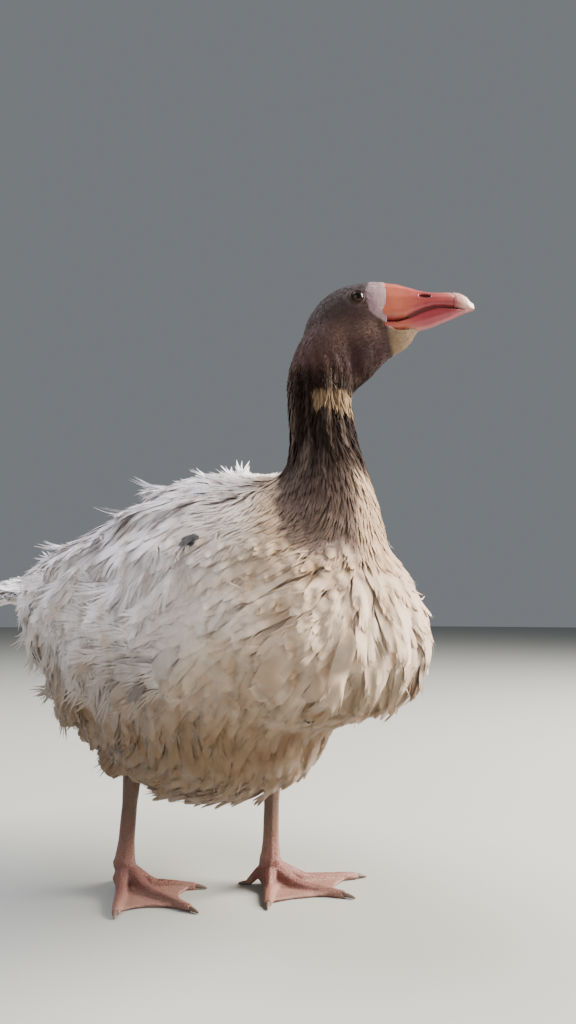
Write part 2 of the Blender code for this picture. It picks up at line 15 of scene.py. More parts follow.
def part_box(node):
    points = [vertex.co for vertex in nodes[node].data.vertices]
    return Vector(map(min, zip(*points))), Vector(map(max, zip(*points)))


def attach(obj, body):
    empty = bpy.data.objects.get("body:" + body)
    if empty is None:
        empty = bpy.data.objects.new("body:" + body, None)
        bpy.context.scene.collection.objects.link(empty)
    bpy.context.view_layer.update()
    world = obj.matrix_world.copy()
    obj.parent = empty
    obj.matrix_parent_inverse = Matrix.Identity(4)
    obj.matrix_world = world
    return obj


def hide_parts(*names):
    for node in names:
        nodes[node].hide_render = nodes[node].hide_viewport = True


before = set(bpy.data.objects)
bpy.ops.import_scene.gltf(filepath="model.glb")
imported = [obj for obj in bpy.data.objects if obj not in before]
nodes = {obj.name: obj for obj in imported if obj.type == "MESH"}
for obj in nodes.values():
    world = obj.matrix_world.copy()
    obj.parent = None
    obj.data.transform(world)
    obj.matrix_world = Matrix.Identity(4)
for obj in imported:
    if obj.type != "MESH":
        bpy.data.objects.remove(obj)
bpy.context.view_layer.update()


# Head's own frame: +X runs along the bill from the middle of its root, +Y to the goose's left.
# It is found from the eyes, which the solids set on either side of the skull.
HEAD_SCALE = 1.07
HEAD_TURN = (0.0, math.radians(-13.0), math.radians(45.0))
EYE_IN_HEAD = Vector((-0.0311, 0.0171, 0.0108))
BILL_ROOT = Vector((0.1805, 0.0505, 0.5736))


def eye_centre(which):
    low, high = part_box(f"eye_{which}")
    return (low + high) / 2


head_turn = Euler(HEAD_TURN).to_matrix()
between_eyes = (eye_centre("left") + eye_centre("right")) / 2
bill_root = between_eyes - head_turn @ Vector((EYE_IN_HEAD.x, 0.0, EYE_IN_HEAD.z)) * HEAD_SCALE
head_frame = Matrix.Translation(bill_root) @ head_turn.to_4x4() @ Matrix.Scale(HEAD_SCALE, 4)
home = bill_root - BILL_ROOT
origin = np.array(home)


# Camera: it stands ahead of the goose and to its right, low, and looks a little up.
# Its lens is a little wide, and it has neither shift nor depth of field.
CAMERA_PLACE = (0.67433, -0.58432, 0.295)
CAMERA_TURN = (95.9, 0.0, 45.0)


def shown(name, data):
    """Puts a new object in the scene."""
    obj = bpy.data.objects.new(name, data)
    bpy.context.scene.collection.objects.link(obj)
    return obj


camera_data = bpy.data.cameras.new("camera")
camera_data.lens = 30.0
camera_data.sensor_width = 36.0
camera = shown("camera", camera_data)
camera.location = home + Vector(CAMERA_PLACE)
camera.rotation_euler = [math.radians(a) for a in CAMERA_TURN]
bpy.context.scene.camera = camera


# Studio: a wide pale floor under an even sky, with three soft lamps.
# A cool one hangs over the goose's right shoulder, and a warm one lights the breast from its left.
SKY_BLUE = (0.72, 0.77, 0.82, 1.0)
SKY_STRENGTH = 0.255
FLOOR_GREY = (0.36, 0.37, 0.35, 1.0)
FLOOR_RADIUS = 9.0


def shine(name, place, aim, size, power, colour):
    lamp = bpy.data.lights.new(name, "AREA")
    lamp.shape = "DISK"
    lamp.size = size
    lamp.energy = power
    lamp.color = colour
    obj = shown(name, lamp)
    obj.location = place
    obj.rotation_euler = (Vector(aim) - Vector(place)).to_track_quat("-Z", "Y").to_euler()


def shaped(name, bm):
    """Turns a finished bmesh into an object in the scene."""
    mesh = bpy.data.meshes.new(name)
    bm.to_mesh(mesh)
    bm.free()
    return shown(name, mesh)


shine("sky_light", (-0.9, -0.6, 3.1), (0.0, 0.0, 0.3), 2.2, 150.0, (0.94, 0.95, 1.0))
shine("sun_light", (1.8, 1.95, 1.9), (0.1, 0.0, 0.3), 2.4, 560.0, (1.0, 0.92, 0.82))
shine("camera_light", (1.3, -2.2, 1.2), (0.05, 0.0, 0.3), 1.8, 13.0, (1.0, 0.98, 0.95))

sky = bpy.data.worlds.new("sky")
sky.use_nodes = True
sky.node_tree.nodes["Background"].inputs["Color"].default_value = SKY_BLUE
sky.node_tree.nodes["Background"].inputs["Strength"].default_value = SKY_STRENGTH
bpy.context.scene.world = sky

bm = bmesh.new()
bmesh.ops.create_circle(bm, cap_ends=True, segments=96, radius=FLOOR_RADIUS)
floor = shaped("floor", bm)
floor_paint = bpy.data.materials.new("floor_paint")
floor_paint.use_nodes = True
floor_paint.node_tree.nodes["Principled BSDF"].inputs["Base Color"].default_value = FLOOR_GREY
floor_paint.node_tree.nodes["Principled BSDF"].inputs["Roughness"].default_value = 0.9
floor.data.materials.append(floor_paint)


# Skin: one closed sheet over trunk, neck, head, tail, wings and thighs, as far in as the coat is deep.
# It shows between the feathers, round the eyes and at the bill, and it carries the goose's colours with their
# painted shade.
BODY_DEPTH = 0.0050
NECK_DEPTH = 0.0035
COAT_DEPTH = {"trunk": BODY_DEPTH, "neck": NECK_DEPTH, "head": 0.0018, "tail": 0.0040, "wing_left": 0.0045,
              "wing_right": 0.0045, "thigh_left": 0.0045, "thigh_right": 0.0045}
SOFTNESS = {"trunk": 1.0, "neck": 0.25, "head": 0.06, "tail": 0.35, "wing_left": 1.0,
            "wing_right": 1.0, "thigh_left": 0.9, "thigh_right": 0.9}
SKIN_NODES = list(COAT_DEPTH)
BILL_NODES = ["upper_bill", "lower_bill", "bill_nail"]
SKIN_VOXEL = 0.0037
CLOSE_SEAMS = 0.0006
FINE_ABOVE = 0.42
FINEST_ABOVE = 0.50
FINEST_BEHIND_BILL = -0.018
FINEST_AHEAD = 0.006
BODY_EASING = 100
HORN_HIGH = [-0.0270, -0.0238, -0.0225, -0.0190, -0.0165, -0.0140, -0.0042, 0.0095, 0.0220]
HORN_AT = [0.0300, 0.0040, -0.0020, -0.0050, -0.0072, -0.0082, -0.0055, -0.0031, 0.0002]
BESIDE_HORN = 0.0004
UNDER_HORN = 0.0062
UNDER_HORN_EASES = 0.0050
NECK_MIDDLE = 0.137
NECK_FURROWS = 15
FURROW_DEPTH = 0.0030
EYE_RADIUS = 0.0078
SOCKET_RIM = 0.0070
SOCKET_SLOPE = 0.36
SOCKET_FLOOR = 0.55
SOCKET_FADES = (0.0140, 0.0085)


def smoothstep(low, high, x):
    t = np.clip((x - low) / (high - low), 0.0, 1.0)
    return t * t * (3.0 - 2.0 * t)


def points_of(mesh):
    spots = np.empty(len(mesh.vertices) * 3)
    mesh.vertices.foreach_get("co", spots)
    return spots.reshape(-1, 3)


def in_head(spots):
    turned = (spots - np.array(bill_root)) @ np.array(head_turn)
    return turned / HEAD_SCALE


def gaze(which):
    """Which way an eye looks."""
    side = 1.0 if which == "left" else -1.0
    return (head_turn @ Vector((0.10, side, 0.10))).normalized()


def melted(name, members, voxel, rounds, swell=0.0):
    """Copies CAD nodes into one object and melts them into a single smooth shell."""
    bm = bmesh.new()
    for member in members:
        part = bmesh.new()
        part.from_mesh(nodes[member].data)
        bmesh.ops.remove_doubles(part, verts=part.verts, dist=1e-6)
        part.normal_update()
        for v in part.verts:
            v.co += v.normal * swell
        spare = bpy.data.meshes.new("spare")
        part.to_mesh(spare)
        part.free()
        bm.from_mesh(spare)
        bpy.data.meshes.remove(spare)
    obj = shaped(name, bm)
    melt = obj.modifiers.new("melt", "REMESH")
    melt.mode = "VOXEL"
    melt.voxel_size = voxel
    smooth = obj.modifiers.new("smooth", "SMOOTH")
    smooth.factor = 0.5
    smooth.iterations = rounds
    mesh = bpy.data.meshes.new_from_object(obj.evaluated_get(bpy.context.evaluated_depsgraph_get()))
    obj.modifiers.clear()
    obj.data = mesh
    return obj


def finer(bm, within):
    """Splits each face whose middle is within the wanted region."""
    middles = [(f, f.calc_center_median()) for f in bm.faces]
    edges = dict.fromkeys(e for f, middle in middles if within(middle) for e in f.edges)
    bmesh.ops.subdivide_edges(bm, edges=list(edges), cuts=1, use_grid_fill=True)


def by_the_bill(middle):
    ahead = (middle - back_of_bill).dot(bill_way)
    return middle.z > home.z + FINEST_ABOVE and 0.0 < ahead < (ahead_of_bill - back_of_bill).length


back_of_bill = head_frame @ Vector((FINEST_BEHIND_BILL, 0.0, 0.0))
ahead_of_bill = head_frame @ Vector((FINEST_AHEAD, 0.0, 0.0))
bill_way = (ahead_of_bill - back_of_bill).normalized()
skin = melted("skin", [*SKIN_NODES, *BILL_NODES], SKIN_VOXEL, 4, CLOSE_SEAMS)
bm = bmesh.new()
bm.from_mesh(skin.data)
finer(bm, lambda middle: middle.z > home.z + FINE_ABOVE)
finer(bm, by_the_bill)
bmesh.ops.triangulate(bm, faces=[f for f in bm.faces if len(f.verts) > 4])
bm.to_mesh(skin.data)
bm.free()

spots = points_of(skin.data)
nearest = kdtree.KDTree(sum(len(nodes[n].data.vertices) for n in SKIN_NODES))
owner = []
for name in SKIN_NODES:
    for v in nodes[name].data.vertices:
        nearest.insert(v.co, len(owner))
        owner.append(name)
nearest.balance()
region = np.array([owner[nearest.find(p)[1]] for p in spots])
links = np.array([e.vertices[:] for e in skin.data.edges])
count = np.bincount(links.ravel(), minlength=len(spots)).astype(float)


def eased(values, share, rounds):
    """Moves each value a share of the way to the middle of its neighbours', over and over."""
    for _ in range(rounds):
        total = np.empty_like(values)
        for k in range(values.shape[1]):
            column = values[:, k]
            total[:, k] = np.bincount(links[:, 0], column[links[:, 1]], len(values))
            total[:, k] += np.bincount(links[:, 1], column[links[:, 0]], len(values))
        values = values + (total / count[:, None] - values) * share
    return values


def reshaped(obj, spots):
    obj.data.vertices.foreach_set("co", spots.ravel())
    obj.data.update()


# Soft forms first: the body's seams are eased away, and the neck and head keep their shape.
local = spots - origin
share = np.array([SOFTNESS[name] for name in region])[:, None]
share = np.where(local[:, 2:] > 0.40, np.minimum(share, 0.25), share)
share = eased(share, 0.5, 12)
spots = eased(spots, share * 0.9, BODY_EASING)
reshaped(skin, spots)
normals = np.array([v.normal for v in skin.data.vertices])

# Then the sheet sinks by the coat's depth: least beside the horn, most beneath it, in furrows on the neck.
local = spots - origin
high = local[:, 2]
depth = np.array([COAT_DEPTH[name] for name in region])
neck_depth = NECK_DEPTH + (BODY_DEPTH - NECK_DEPTH) * smoothstep(0.42, 0.35, high)
depth = np.where((high > 0.35) & (local[:, 0] > 0.09), np.minimum(depth, neck_depth), depth)
depth = eased(depth[:, None], 0.8, 12)[:, 0]
on_head = in_head(spots)
horn_edge = np.interp(on_head[:, 2], HORN_HIGH, HORN_AT)
under_horn = smoothstep(-0.0012, 0.0008, on_head[:, 0] - horn_edge) * (high > 0.50)
by_horn = smoothstep(-0.024, -0.012, on_head[:, 0]) * (high > 0.50)
depth = depth * (1 - by_horn) + BESIDE_HORN * by_horn
depth = depth + under_horn * (UNDER_HORN - UNDER_HORN_EASES * smoothstep(0.004, 0.012, on_head[:, 0]))
around = np.arctan2(local[:, 1], local[:, 0] - NECK_MIDDLE) + 6.0 * (high - 0.45)
on_neck = smoothstep(0.365, 0.41, high) * smoothstep(0.535, 0.505, high)
furrow = 0.5 + 0.5 * np.cos(around * NECK_FURROWS + 1.5 * np.sin(high * 60.0))
depth = depth + on_neck * FURROW_DEPTH * (1.0 - furrow) ** 1.5 - on_neck * 0.0008
spots = spots - normals * (depth + CLOSE_SEAMS)[:, None]
spots = eased(spots, share * 0.6, 8)

# Last, each eye gets its socket: the sheet drops to a shallow cone round the ball.
for which in ("left", "right"):
    out = np.array(gaze(which))
    rel = spots - np.array(eye_centre(which))
    height = rel @ out
    reach = np.linalg.norm(rel - height[:, None] * out, axis=1)
    beside = (height > -0.004) & (reach < 0.016)
    wanted = EYE_RADIUS * HEAD_SCALE * SOCKET_FLOOR + SOCKET_SLOPE * np.maximum(reach - SOCKET_RIM, 0.0)
    near = smoothstep(*SOCKET_FADES, reach)
    drop = np.where(beside, np.maximum(height - wanted, 0.0) * near, 0.0)
    spots = spots - drop[:, None] * out
reshaped(skin, spots)
skin.data.shade_smooth()


class Wire:
    """A shader socket that Python's operators work on: each operator adds a Math node to the material."""

    def __init__(self, tree, socket):
        self.tree = tree
        self.socket = socket

    def node(self, kind, settings=None, out=0, **values):
        """Adds one node, sets its settings, then feeds its sockets with numbers, colours or other wires."""
        made = self.tree.nodes.new("ShaderNode" + kind)
        for key, value in (settings or {}).items():
            setattr(made, key, value)
        for key, value in values.items():
            place = made.inputs[int(key[1:])] if key[0] == "i" and key[1:].isdigit() else made.inputs[key]
            if isinstance(value, Wire):
                self.tree.links.new(value.socket, place)
            else:
                place.default_value = value
        return Wire(self.tree, made.outputs[out])

    def maths(self, operation, first, second=0.0):
        return self.node("Math", {"operation": operation}, i0=first, i1=second)

    def vectors(self, operation, other, out=0):
        return self.node("VectorMath", {"operation": operation}, out=out, i0=self, i1=other)

    def __add__(self, other):
        return self.maths("ADD", self, other)

    def __sub__(self, other):
        return self.maths("SUBTRACT", self, other)

    def __rsub__(self, other):
        return self.maths("SUBTRACT", other, self)

    def __mul__(self, other):
        return self.maths("MULTIPLY", self, other)

    __radd__ = __add__
    __rmul__ = __mul__

    def __pow__(self, power):
        return self.maths("POWER", self, power)

    def size(self):
        return self.maths("ABSOLUTE", self)

    def sine(self):
        return self.maths("SINE", self)

    def over(self, low, high):
        """0 below low and 1 above high, or the other way round where low is the greater."""
        if low < high:
            return self.node("MapRange", {"interpolation_type": "SMOOTHSTEP"},
                             Value=self, **{"From Min": low, "From Max": high})
        return 1.0 - self.over(high, low)

    def place(self):
        """The place on the piece."""
        return self.node("TexCoord", out=3)

    def attribute(self, name, kind):
        """One of the mesh's own attributes, which is a "place" or a "number"."""
        return self.node("Attribute", {"attribute_name": name}, out=1 if kind == "place" else 2)

    def axes(self):
        split = self.tree.nodes.new("ShaderNodeSeparateXYZ")
        self.tree.links.new(self.socket, split.inputs[0])
        return [Wire(self.tree, out) for out in split.outputs]

    def noise(self, scale, detail=3.0, roughness=0.5, stretch=(1.0, 1.0, 1.0)):
        return self.node("TexNoise", Vector=self.vectors("MULTIPLY", stretch), Scale=scale,
                         Detail=detail, Roughness=roughness)

    def mix(self, first, second):
        """Goes from the first colour to the second as this wire goes from 0 to 1."""
        colours = [c if isinstance(c, Wire) else (*c, 1.0) for c in (first, second)]
        return self.node("Mix", {"data_type": "RGBA"}, out=2, i0=self, i6=colours[0], i7=colours[1])

    def shade(self, factor):
        """Multiplies this colour by a number's wire."""
        return self.node("VectorMath", {"operation": "SCALE"}, i0=self, Scale=factor)


def new_finish(name, roughness, **fixed):
    """A Principled material: its shader's fixed sockets are set, and its tree's first wire is returned."""
    finish = bpy.data.materials.new(name)
    finish.use_nodes = True
    shader = finish.node_tree.nodes["Principled BSDF"]
    shader.inputs["Roughness"].default_value = roughness
    for key, value in fixed.items():
        shader.inputs[key.replace("_", " ")].default_value = value
    return finish, shader, Wire(finish.node_tree, None)


def feed(shader, socket, wire):
    wire.tree.links.new(wire.socket, shader.inputs[socket])


def bumped(shader, height, strength, distance):
    wire = height.node("Bump", Height=height, Strength=strength, Distance=distance)
    feed(shader, "Normal", wire)


WHITE_COOL = (0.72, 0.675, 0.705)
WHITE_WARM = (0.66, 0.515, 0.395)
TAN = (0.41, 0.280, 0.175)
UNDER_SHADE = (0.165, 0.097, 0.048)
CREAM = (0.220, 0.145, 0.087)
NECK_BROWN = (0.0165, 0.0088, 0.0062)
NECK_BASE = (0.155, 0.105, 0.088)
NECK_LIGHT = (0.120, 0.085, 0.068)
FACE_BROWN = (0.077, 0.038, 0.031)
CROWN_GREY = (0.060, 0.038, 0.038)
CHEEK_DARK = (0.038, 0.016, 0.016)
BLAZE = (0.275, 0.180, 0.198)
MOUTH_SHADE = (0.110, 0.020, 0.020)
HORN_ORANGE = (0.38, 0.085, 0.045)
SLATE = (0.034, 0.036, 0.046)
DARK_FEATHERS_AND_THIGH_SHADOW = [
    ((0.0853, -0.1202, 0.3473), 0.0075, 0.95),
    ((0.0905, -0.0778, 0.3921), 0.0075, 0.55),
    ((0.0394, -0.1346, 0.2159), 0.0065, 0.60),
    ((-0.0930, -0.1489, 0.2461), 0.0060, 0.55),
    ((0.1789, -0.0699, 0.3242), 0.0110, 0.40),
    # Painted shadow, not a dark feather: the patch above the right thigh where its shade falls; two lone
    # feathers are grown there too.
    ((-0.0426, -0.0988, 0.1560), 0.0160, 0.45),
    ((0.0100, 0.1400, 0.2900), 0.0070, 0.60),
    ((-0.1300, 0.0500, 0.3500), 0.0070, 0.50),
]


def white_body(here, broad):
    """White above, warmer and tanner towards the breast and the belly, painted shade darkening the underside
    to brown, a few slate marks and a painted shadow above the right thigh.
    """
    x, y, z = here.axes()
    low = z.over(0.32, 0.14)
    front = x.over(0.00, 0.19)
    warmth = (front * 0.9 + low * 0.6 + broad * 0.9).over(0.10, 1.00)
    body = warmth.mix(WHITE_COOL, WHITE_WARM)
    body = ((low * 1.0 + front * 0.15 + broad * 1.4).over(0.62, 1.20) * 0.85).mix(body, TAN)
    # Painted shade: the underside turns dark brown, with a streaked edge.
    under_shade_edge = here.noise(60.0, 2.0, 0.5, (1.0, 1.0, 0.25)) - 0.5
    body = ((z + under_shade_edge * 0.10).over(0.300, 0.160) * 0.90).mix(body, UNDER_SHADE)
    body = (here.noise(38.0, 2.0).over(0.62, 0.75) * 0.15).mix(body, TAN)
    # Slate marks of the dark feathers, and the painted shadow above the right thigh in the same slate.
    for spot, wide, strength in DARK_FEATHERS_AND_THIGH_SHADOW:
        off = here.vectors("DISTANCE", spot, out=1)
        body = (off.over(wide, wide * 0.7) * strength).mix(body, SLATE)
    return body


def dark_neck(here, broad, fine, body):
    """Streaked dark brown down the neck, paler at its base, with an uneven edge and a white notch ahead;
    below the edge the white turns tan, partly brownish feathers and partly painted shade under the neck.
    """
    x, y, z = here.axes()
    reach = ((x - 0.140) ** 2.0 + y ** 2.0) ** 0.5 + broad * 0.020 + fine * 0.014
    limit = 0.047 + x.over(0.110, 0.155) * 0.024
    # Tan below the neck's edge: partly the brownish feathers where the neck passes into the breast, partly
    # painted shade under the neck.
    body = ((limit - reach).over(-0.050, -0.004) * z.over(0.26, 0.33) * 0.80).mix(body, TAN)
    above = (limit - reach).over(-0.006, 0.005) * (z + fine * 0.024).over(0.324, 0.342)
    ahead = (y + (x - 0.18) * 0.3 + fine * 0.018).over(-0.016, 0.000) * x.over(0.150, 0.165)
    above = above * (1.0 - ahead * (z + fine * 0.02).over(0.418, 0.398))
    streak = here.noise(95.0, 2.0, 0.5, (1.0, 1.0, 0.06))
    neck = z.over(0.44, 0.34).mix(NECK_BROWN, NECK_BASE)
    neck = (streak.over(0.50, 0.72) * 0.8).mix(neck, NECK_LIGHT)
    return above.mix(body, neck)


def brown_head(here, fine, coat):
    """Grey-brown face and crown, a pale blaze round the bill's root, a cream chin, and painted shade on the
    skin in the mouth's corner between the jaws.
    """
    x, y, z = here.axes()
    turned = here.vectors("SUBTRACT", tuple(BILL_ROOT))
    turned = turned.node("VectorRotate", {"rotation_type": "EULER_XYZ", "invert": True},
                         Vector=turned, Rotation=HEAD_TURN)
    hx, hy, hz = turned.axes()
    face = hz.over(-0.020, 0.014).mix(FACE_BROWN, CROWN_GREY)
    face = (hz.over(-0.022, -0.040) * hx.over(-0.085, -0.050)).mix(face, CHEEK_DARK)
    face = (fine.over(-0.15, 0.25) * 0.25).mix(face, CROWN_GREY)
    coat = z.over(0.490, 0.520).mix(coat, face)
    back_edge = hx + 0.0245 - hz.over(-0.001, -0.019) * 0.0145 - hz.over(0.014, 0.030) * 0.0085
    blaze = (back_edge + fine * 0.004).over(-0.0016, 0.0016) * hz.over(-0.0235, -0.0205)
    coat = blaze.mix(coat, BLAZE)
    horn_edge = (hx + hz.over(0.0095, -0.0140) * 0.0051).over(-0.0028, -0.0020) * hz.over(-0.0215, -0.0195)
    coat = horn_edge.mix(coat, HORN_ORANGE)
    chin = hz.over(-0.0200, -0.0245) * (hx + fine * 0.006).over(-0.013, -0.007)
    coat = chin.mix(coat, CREAM)
    # Painted shade: the skin in the gape between the jaws is darkened to dark rose.
    return (hx.over(-0.0030, 0.0010) * hz.over(-0.0250, -0.0215)).mix(coat, MOUTH_SHADE)


def half_collar(here, fine, coat):
    """A cream half collar round the throat, below the turned head, with a ragged lower edge."""
    x, y, z = here.axes()
    toward = (x - 0.133) * 0.707 + y * 0.707
    lower = (z + (here.noise(190.0, 1.0) - 0.5) * 0.022).over(0.463, 0.468)
    upper = (z + fine * 0.01).over(0.489, 0.482)
    collar = lower * upper * (toward + fine * 0.01).over(-0.010, -0.005) * z.over(0.53, 0.50)
    return collar.mix(coat, CREAM)


def markings_and_shade(place):
    """The goose's colours, with their painted shade and shadow, as a function of the place on its body."""
    here = place.vectors("SUBTRACT", tuple(home))
    broad, fine = here.noise(14.0, 2.0) - 0.5, here.noise(70.0, 3.0) - 0.5
    coat = dark_neck(here, broad, fine, white_body(here, broad))
    return half_collar(here, fine, brown_head(here, fine, coat))


finish, shader, wire = new_finish("bare_skin", 0.85)
feed(shader, "Base Color", markings_and_shade(wire.place()).shade(0.86))
bumped(shader, wire.place().noise(900.0, 2.0), 0.35, 0.0006)
skin.data.materials.append(finish)
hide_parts(*SKIN_NODES)
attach(skin, "root")


# Eyes: dark brown glossy balls, each in a socket, with a round black pupil in the middle.
# Each looks out sideways and a little ahead and up, and its lids hold it all round.
EYE_SEEN = 41.0
EYE_SEEN_HIGH = 37.0
UPPER_LID_LOWER = 2.0
IRIS_EDGE = 0.0056
PUPIL_EDGE = 0.0027
LID_RINGS = [(-9.0, -0.0010), (-1.5, 0.0001), (0.5, 0.0005), (3.5, 0.00085), (8.0, 0.0009), (14.0, 0.0006),
             (21.0, 0.0004), (30.0, 0.0001), (42.0, -0.0010)]
LID_CREASE_AT = 11.0
LID_CREASE = 0.00035


def marked(mesh, name, values):
    """Keeps a number or a place for each of the mesh's vertices, for its material to read."""
    values = np.asarray(values, dtype=float)
    kind, field = ("FLOAT_VECTOR", "vector") if values.ndim == 2 else ("FLOAT", "value")
    mesh.attributes.new(name, kind, "POINT").data.foreach_set(field, values.ravel())


def eyeball(which):
    centre, out = eye_centre(which), gaze(which)
    bm = bmesh.new()
    bmesh.ops.create_uvsphere(bm, u_segments=48, v_segments=32, radius=EYE_RADIUS * HEAD_SCALE)
    bmesh.ops.rotate(bm, verts=bm.verts, matrix=out.to_track_quat("Z", "Y").to_matrix())
    bmesh.ops.translate(bm, verts=bm.verts, vec=centre)
    ball = shaped(f"eyeball_{which}", bm)
    ahead = [(v.co - centre).dot(out) for v in ball.data.vertices]
    off = [(v.co - centre - out * a).length if a > 0 else 0.02 for v, a in zip(ball.data.vertices, ahead)]
    marked(ball.data, "off_axis", off)
    ball.data.shade_smooth()
    return ball


def lids(which):
    """Both lids as one ring, from inside the socket over the rim and out under the feathers."""
    centre, out = eye_centre(which), gaze(which)
    ahead = head_turn @ Vector((1.0, 0.0, 0.0))
    ahead = (ahead - out * ahead.dot(out)).normalized()
    above = out.cross(ahead) * (1.0 if out.cross(ahead).z > 0 else -1.0)
    bm = bmesh.new()
    loop = list(bmesh.ops.create_circle(bm, segments=44, radius=1.0)["verts"])
    turns = [math.atan2(v.co.y, v.co.x) for v in loop]
    for number, (wider, lift) in enumerate(LID_RINGS):
        if number:
            ring_edges = [e for e in bm.edges if e.verts[0] in loop and e.verts[1] in loop]
            grown = bmesh.ops.extrude_edge_only(bm, edges=ring_edges)["geom"]
            fresh = [g for g in grown if isinstance(g, bmesh.types.BMVert)]
            loop = [min(fresh, key=lambda v: (v.co - old.co).length) for old in loop]
        crease = LID_CREASE * math.exp(-((wider - LID_CREASE_AT) / 3.0) ** 2)
        for v, turn in zip(loop, turns):
            tall = EYE_SEEN_HIGH - (UPPER_LID_LOWER if math.sin(turn) > 0 else 0.0)
            angle = math.radians(math.hypot(EYE_SEEN * math.cos(turn), tall * math.sin(turn)) + wider)
            away = ahead * math.cos(turn) + above * math.sin(turn)
            reach = EYE_RADIUS * HEAD_SCALE + lift - crease
            v.co = centre + (out * math.cos(angle) + away * math.sin(angle)) * reach
    bmesh.ops.recalc_face_normals(bm, faces=bm.faces)
    bm.normal_update()
    if sum((f.calc_center_median() - centre).dot(f.normal) for f in bm.faces) < 0:
        bmesh.ops.reverse_faces(bm, faces=bm.faces)
    ring = shaped(f"lids_{which}", bm)
    marked(ring.data, "rim", [(v.co - centre).angle(out) for v in ring.data.vertices])
    ring.data.shade_smooth()
    return ring


eye_paint, shader, wire = new_finish("wet_eye", 0.07, Specular_IOR_Level=0.30)
off = wire.attribute("off_axis", "number")
threads = wire.place().noise(700.0, 2.0)
iris = (threads * 0.7 + off.over(0.0028, 0.0052) * 0.3).mix((0.012, 0.005, 0.004), (0.040, 0.016, 0.010))
inner = off.over(PUPIL_EDGE - 0.0002, PUPIL_EDGE + 0.0002).mix((0.003, 0.003, 0.004), iris)
feed(shader, "Base Color", off.over(IRIS_EDGE - 0.0004, IRIS_EDGE + 0.0003).mix(inner, (0.012, 0.007, 0.006)))

lid_paint, shader, wire = new_finish("lid_skin", 0.65, Specular_IOR_Level=0.10)
rim = wire.attribute("rim", "number")
grain = wire.place().noise(1300.0, 2.0)
pale = grain.mix((0.048, 0.028, 0.023), (0.085, 0.052, 0.044))
tint = rim.over(math.radians(47.0), math.radians(53.0)).mix(pale, (0.062, 0.038, 0.034))
inner = rim.over(math.radians(50.0), math.radians(43.0))
feed(shader, "Base Color", inner.mix(tint, (0.02, 0.010, 0.008)))
bumped(shader, grain, 0.5, 0.0004)

for which in ("left", "right"):
    ball = eyeball(which)
    ball.data.materials.append(eye_paint)
    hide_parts(f"eye_{which}")
    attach(ball, "root")
    ring = lids(which)
    ring.data.materials.append(lid_paint)
    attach(ring, "root")


# Bill: two jaws sheathed in soft orange and rose horn, with a slot of a nostril through the upper one.
# They meet along a wavy dark line, and a hard pale nail is set in the upper jaw's tip.
MOUTH_AT = [-0.012, -0.003, 0.005, 0.017, 0.030, 0.040, 0.054, 0.072]
MOUTH_HIGH = [-0.0125, -0.0140, -0.0152, -0.0118, -0.0094, -0.0095, -0.0125, -0.0150]
TIP_HANGS = 0.0020
NOSTRIL_AT = (0.0300, 0.0, 0.0022)
COMB_PITCH = 5200.0


def bill_piece(name, node, voxel, swell, finish):
    obj = melted(name, [node], voxel, 6, swell)
    spots = points_of(obj.data)
    place = in_head(spots)
    heavy = smoothstep(0.038, 0.056, place[:, 0]) * smoothstep(-0.0080, -0.0150, place[:, 2]) * TIP_HANGS
    spots -= heavy[:, None] * np.array(head_turn @ Vector((0.0, 0.0, 1.0)))
    obj.data.vertices.foreach_set("co", spots.ravel())
    marked(obj.data, "in_head", place)
    marked(obj.data, "from_mouth", place[:, 2] - np.interp(place[:, 0], MOUTH_AT, MOUTH_HIGH))
    obj.data.shade_smooth()
    obj.data.materials.append(finish)
    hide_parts(node)
    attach(obj, "root")


def horn_tint(place, gap, streaks):
    """Orange behind, rose ahead and below, paler over the upper front, partly painted light on the ridge,
    pale at the tip, with a dark nostril and mouth line.
    """
    x, y, z = place.axes()
    blotch = place.noise(120.0, 3.0)
    orange = blotch.mix((0.34, 0.068, 0.037), (0.42, 0.102, 0.052))
    rose = blotch.mix((0.215, 0.015, 0.029), (0.31, 0.034, 0.045))
    forward = (x + (blotch - 0.5) * 0.02).over(0.006, 0.030)
    lower = z.over(-0.002, -0.014) * x.over(0.000, 0.018)
    tint = (forward * 0.80 + lower * 0.6).mix(orange, rose)
    # Paler salmon over the upper front: partly the horn's own pinker tone, partly painted light on the ridge.
    tint = (z.over(-0.010, 0.003) * x.over(0.036, 0.058) * 0.5).mix(tint, (0.52, 0.20, 0.15))
    tint = (z.over(-0.0205, -0.0240) * x.over(0.030, 0.0) * 0.6).mix(tint, (0.46, 0.20, 0.10))
    nx, ny, nz = place.vectors("SUBTRACT", NOSTRIL_AT).axes()
    hole = ((nx * 0.42) ** 2.0 + (nz + nx * 0.24) ** 2.0) ** 0.5
    tint = (hole.over(0.0036, 0.0022) * 0.85).mix(tint, (0.20, 0.026, 0.026))
    tint = (gap.size() + (blotch - 0.5) * 0.0012).over(0.0014, 0.0002).mix(tint, (0.130, 0.026, 0.022))
    tint = (gap.size().over(0.0065, 0.0020) * x.over(0.010, -0.004) * 0.7).mix(tint, (0.27, 0.035, 0.038))
    pale = streaks.mix((0.42, 0.195, 0.165), (0.62, 0.37, 0.32))
    tip = (x + z * 0.25 + (streaks - 0.5) * 0.006).over(0.0480, 0.0640) * z.over(-0.0165, -0.0130)
    return tip.mix(tint, pale)


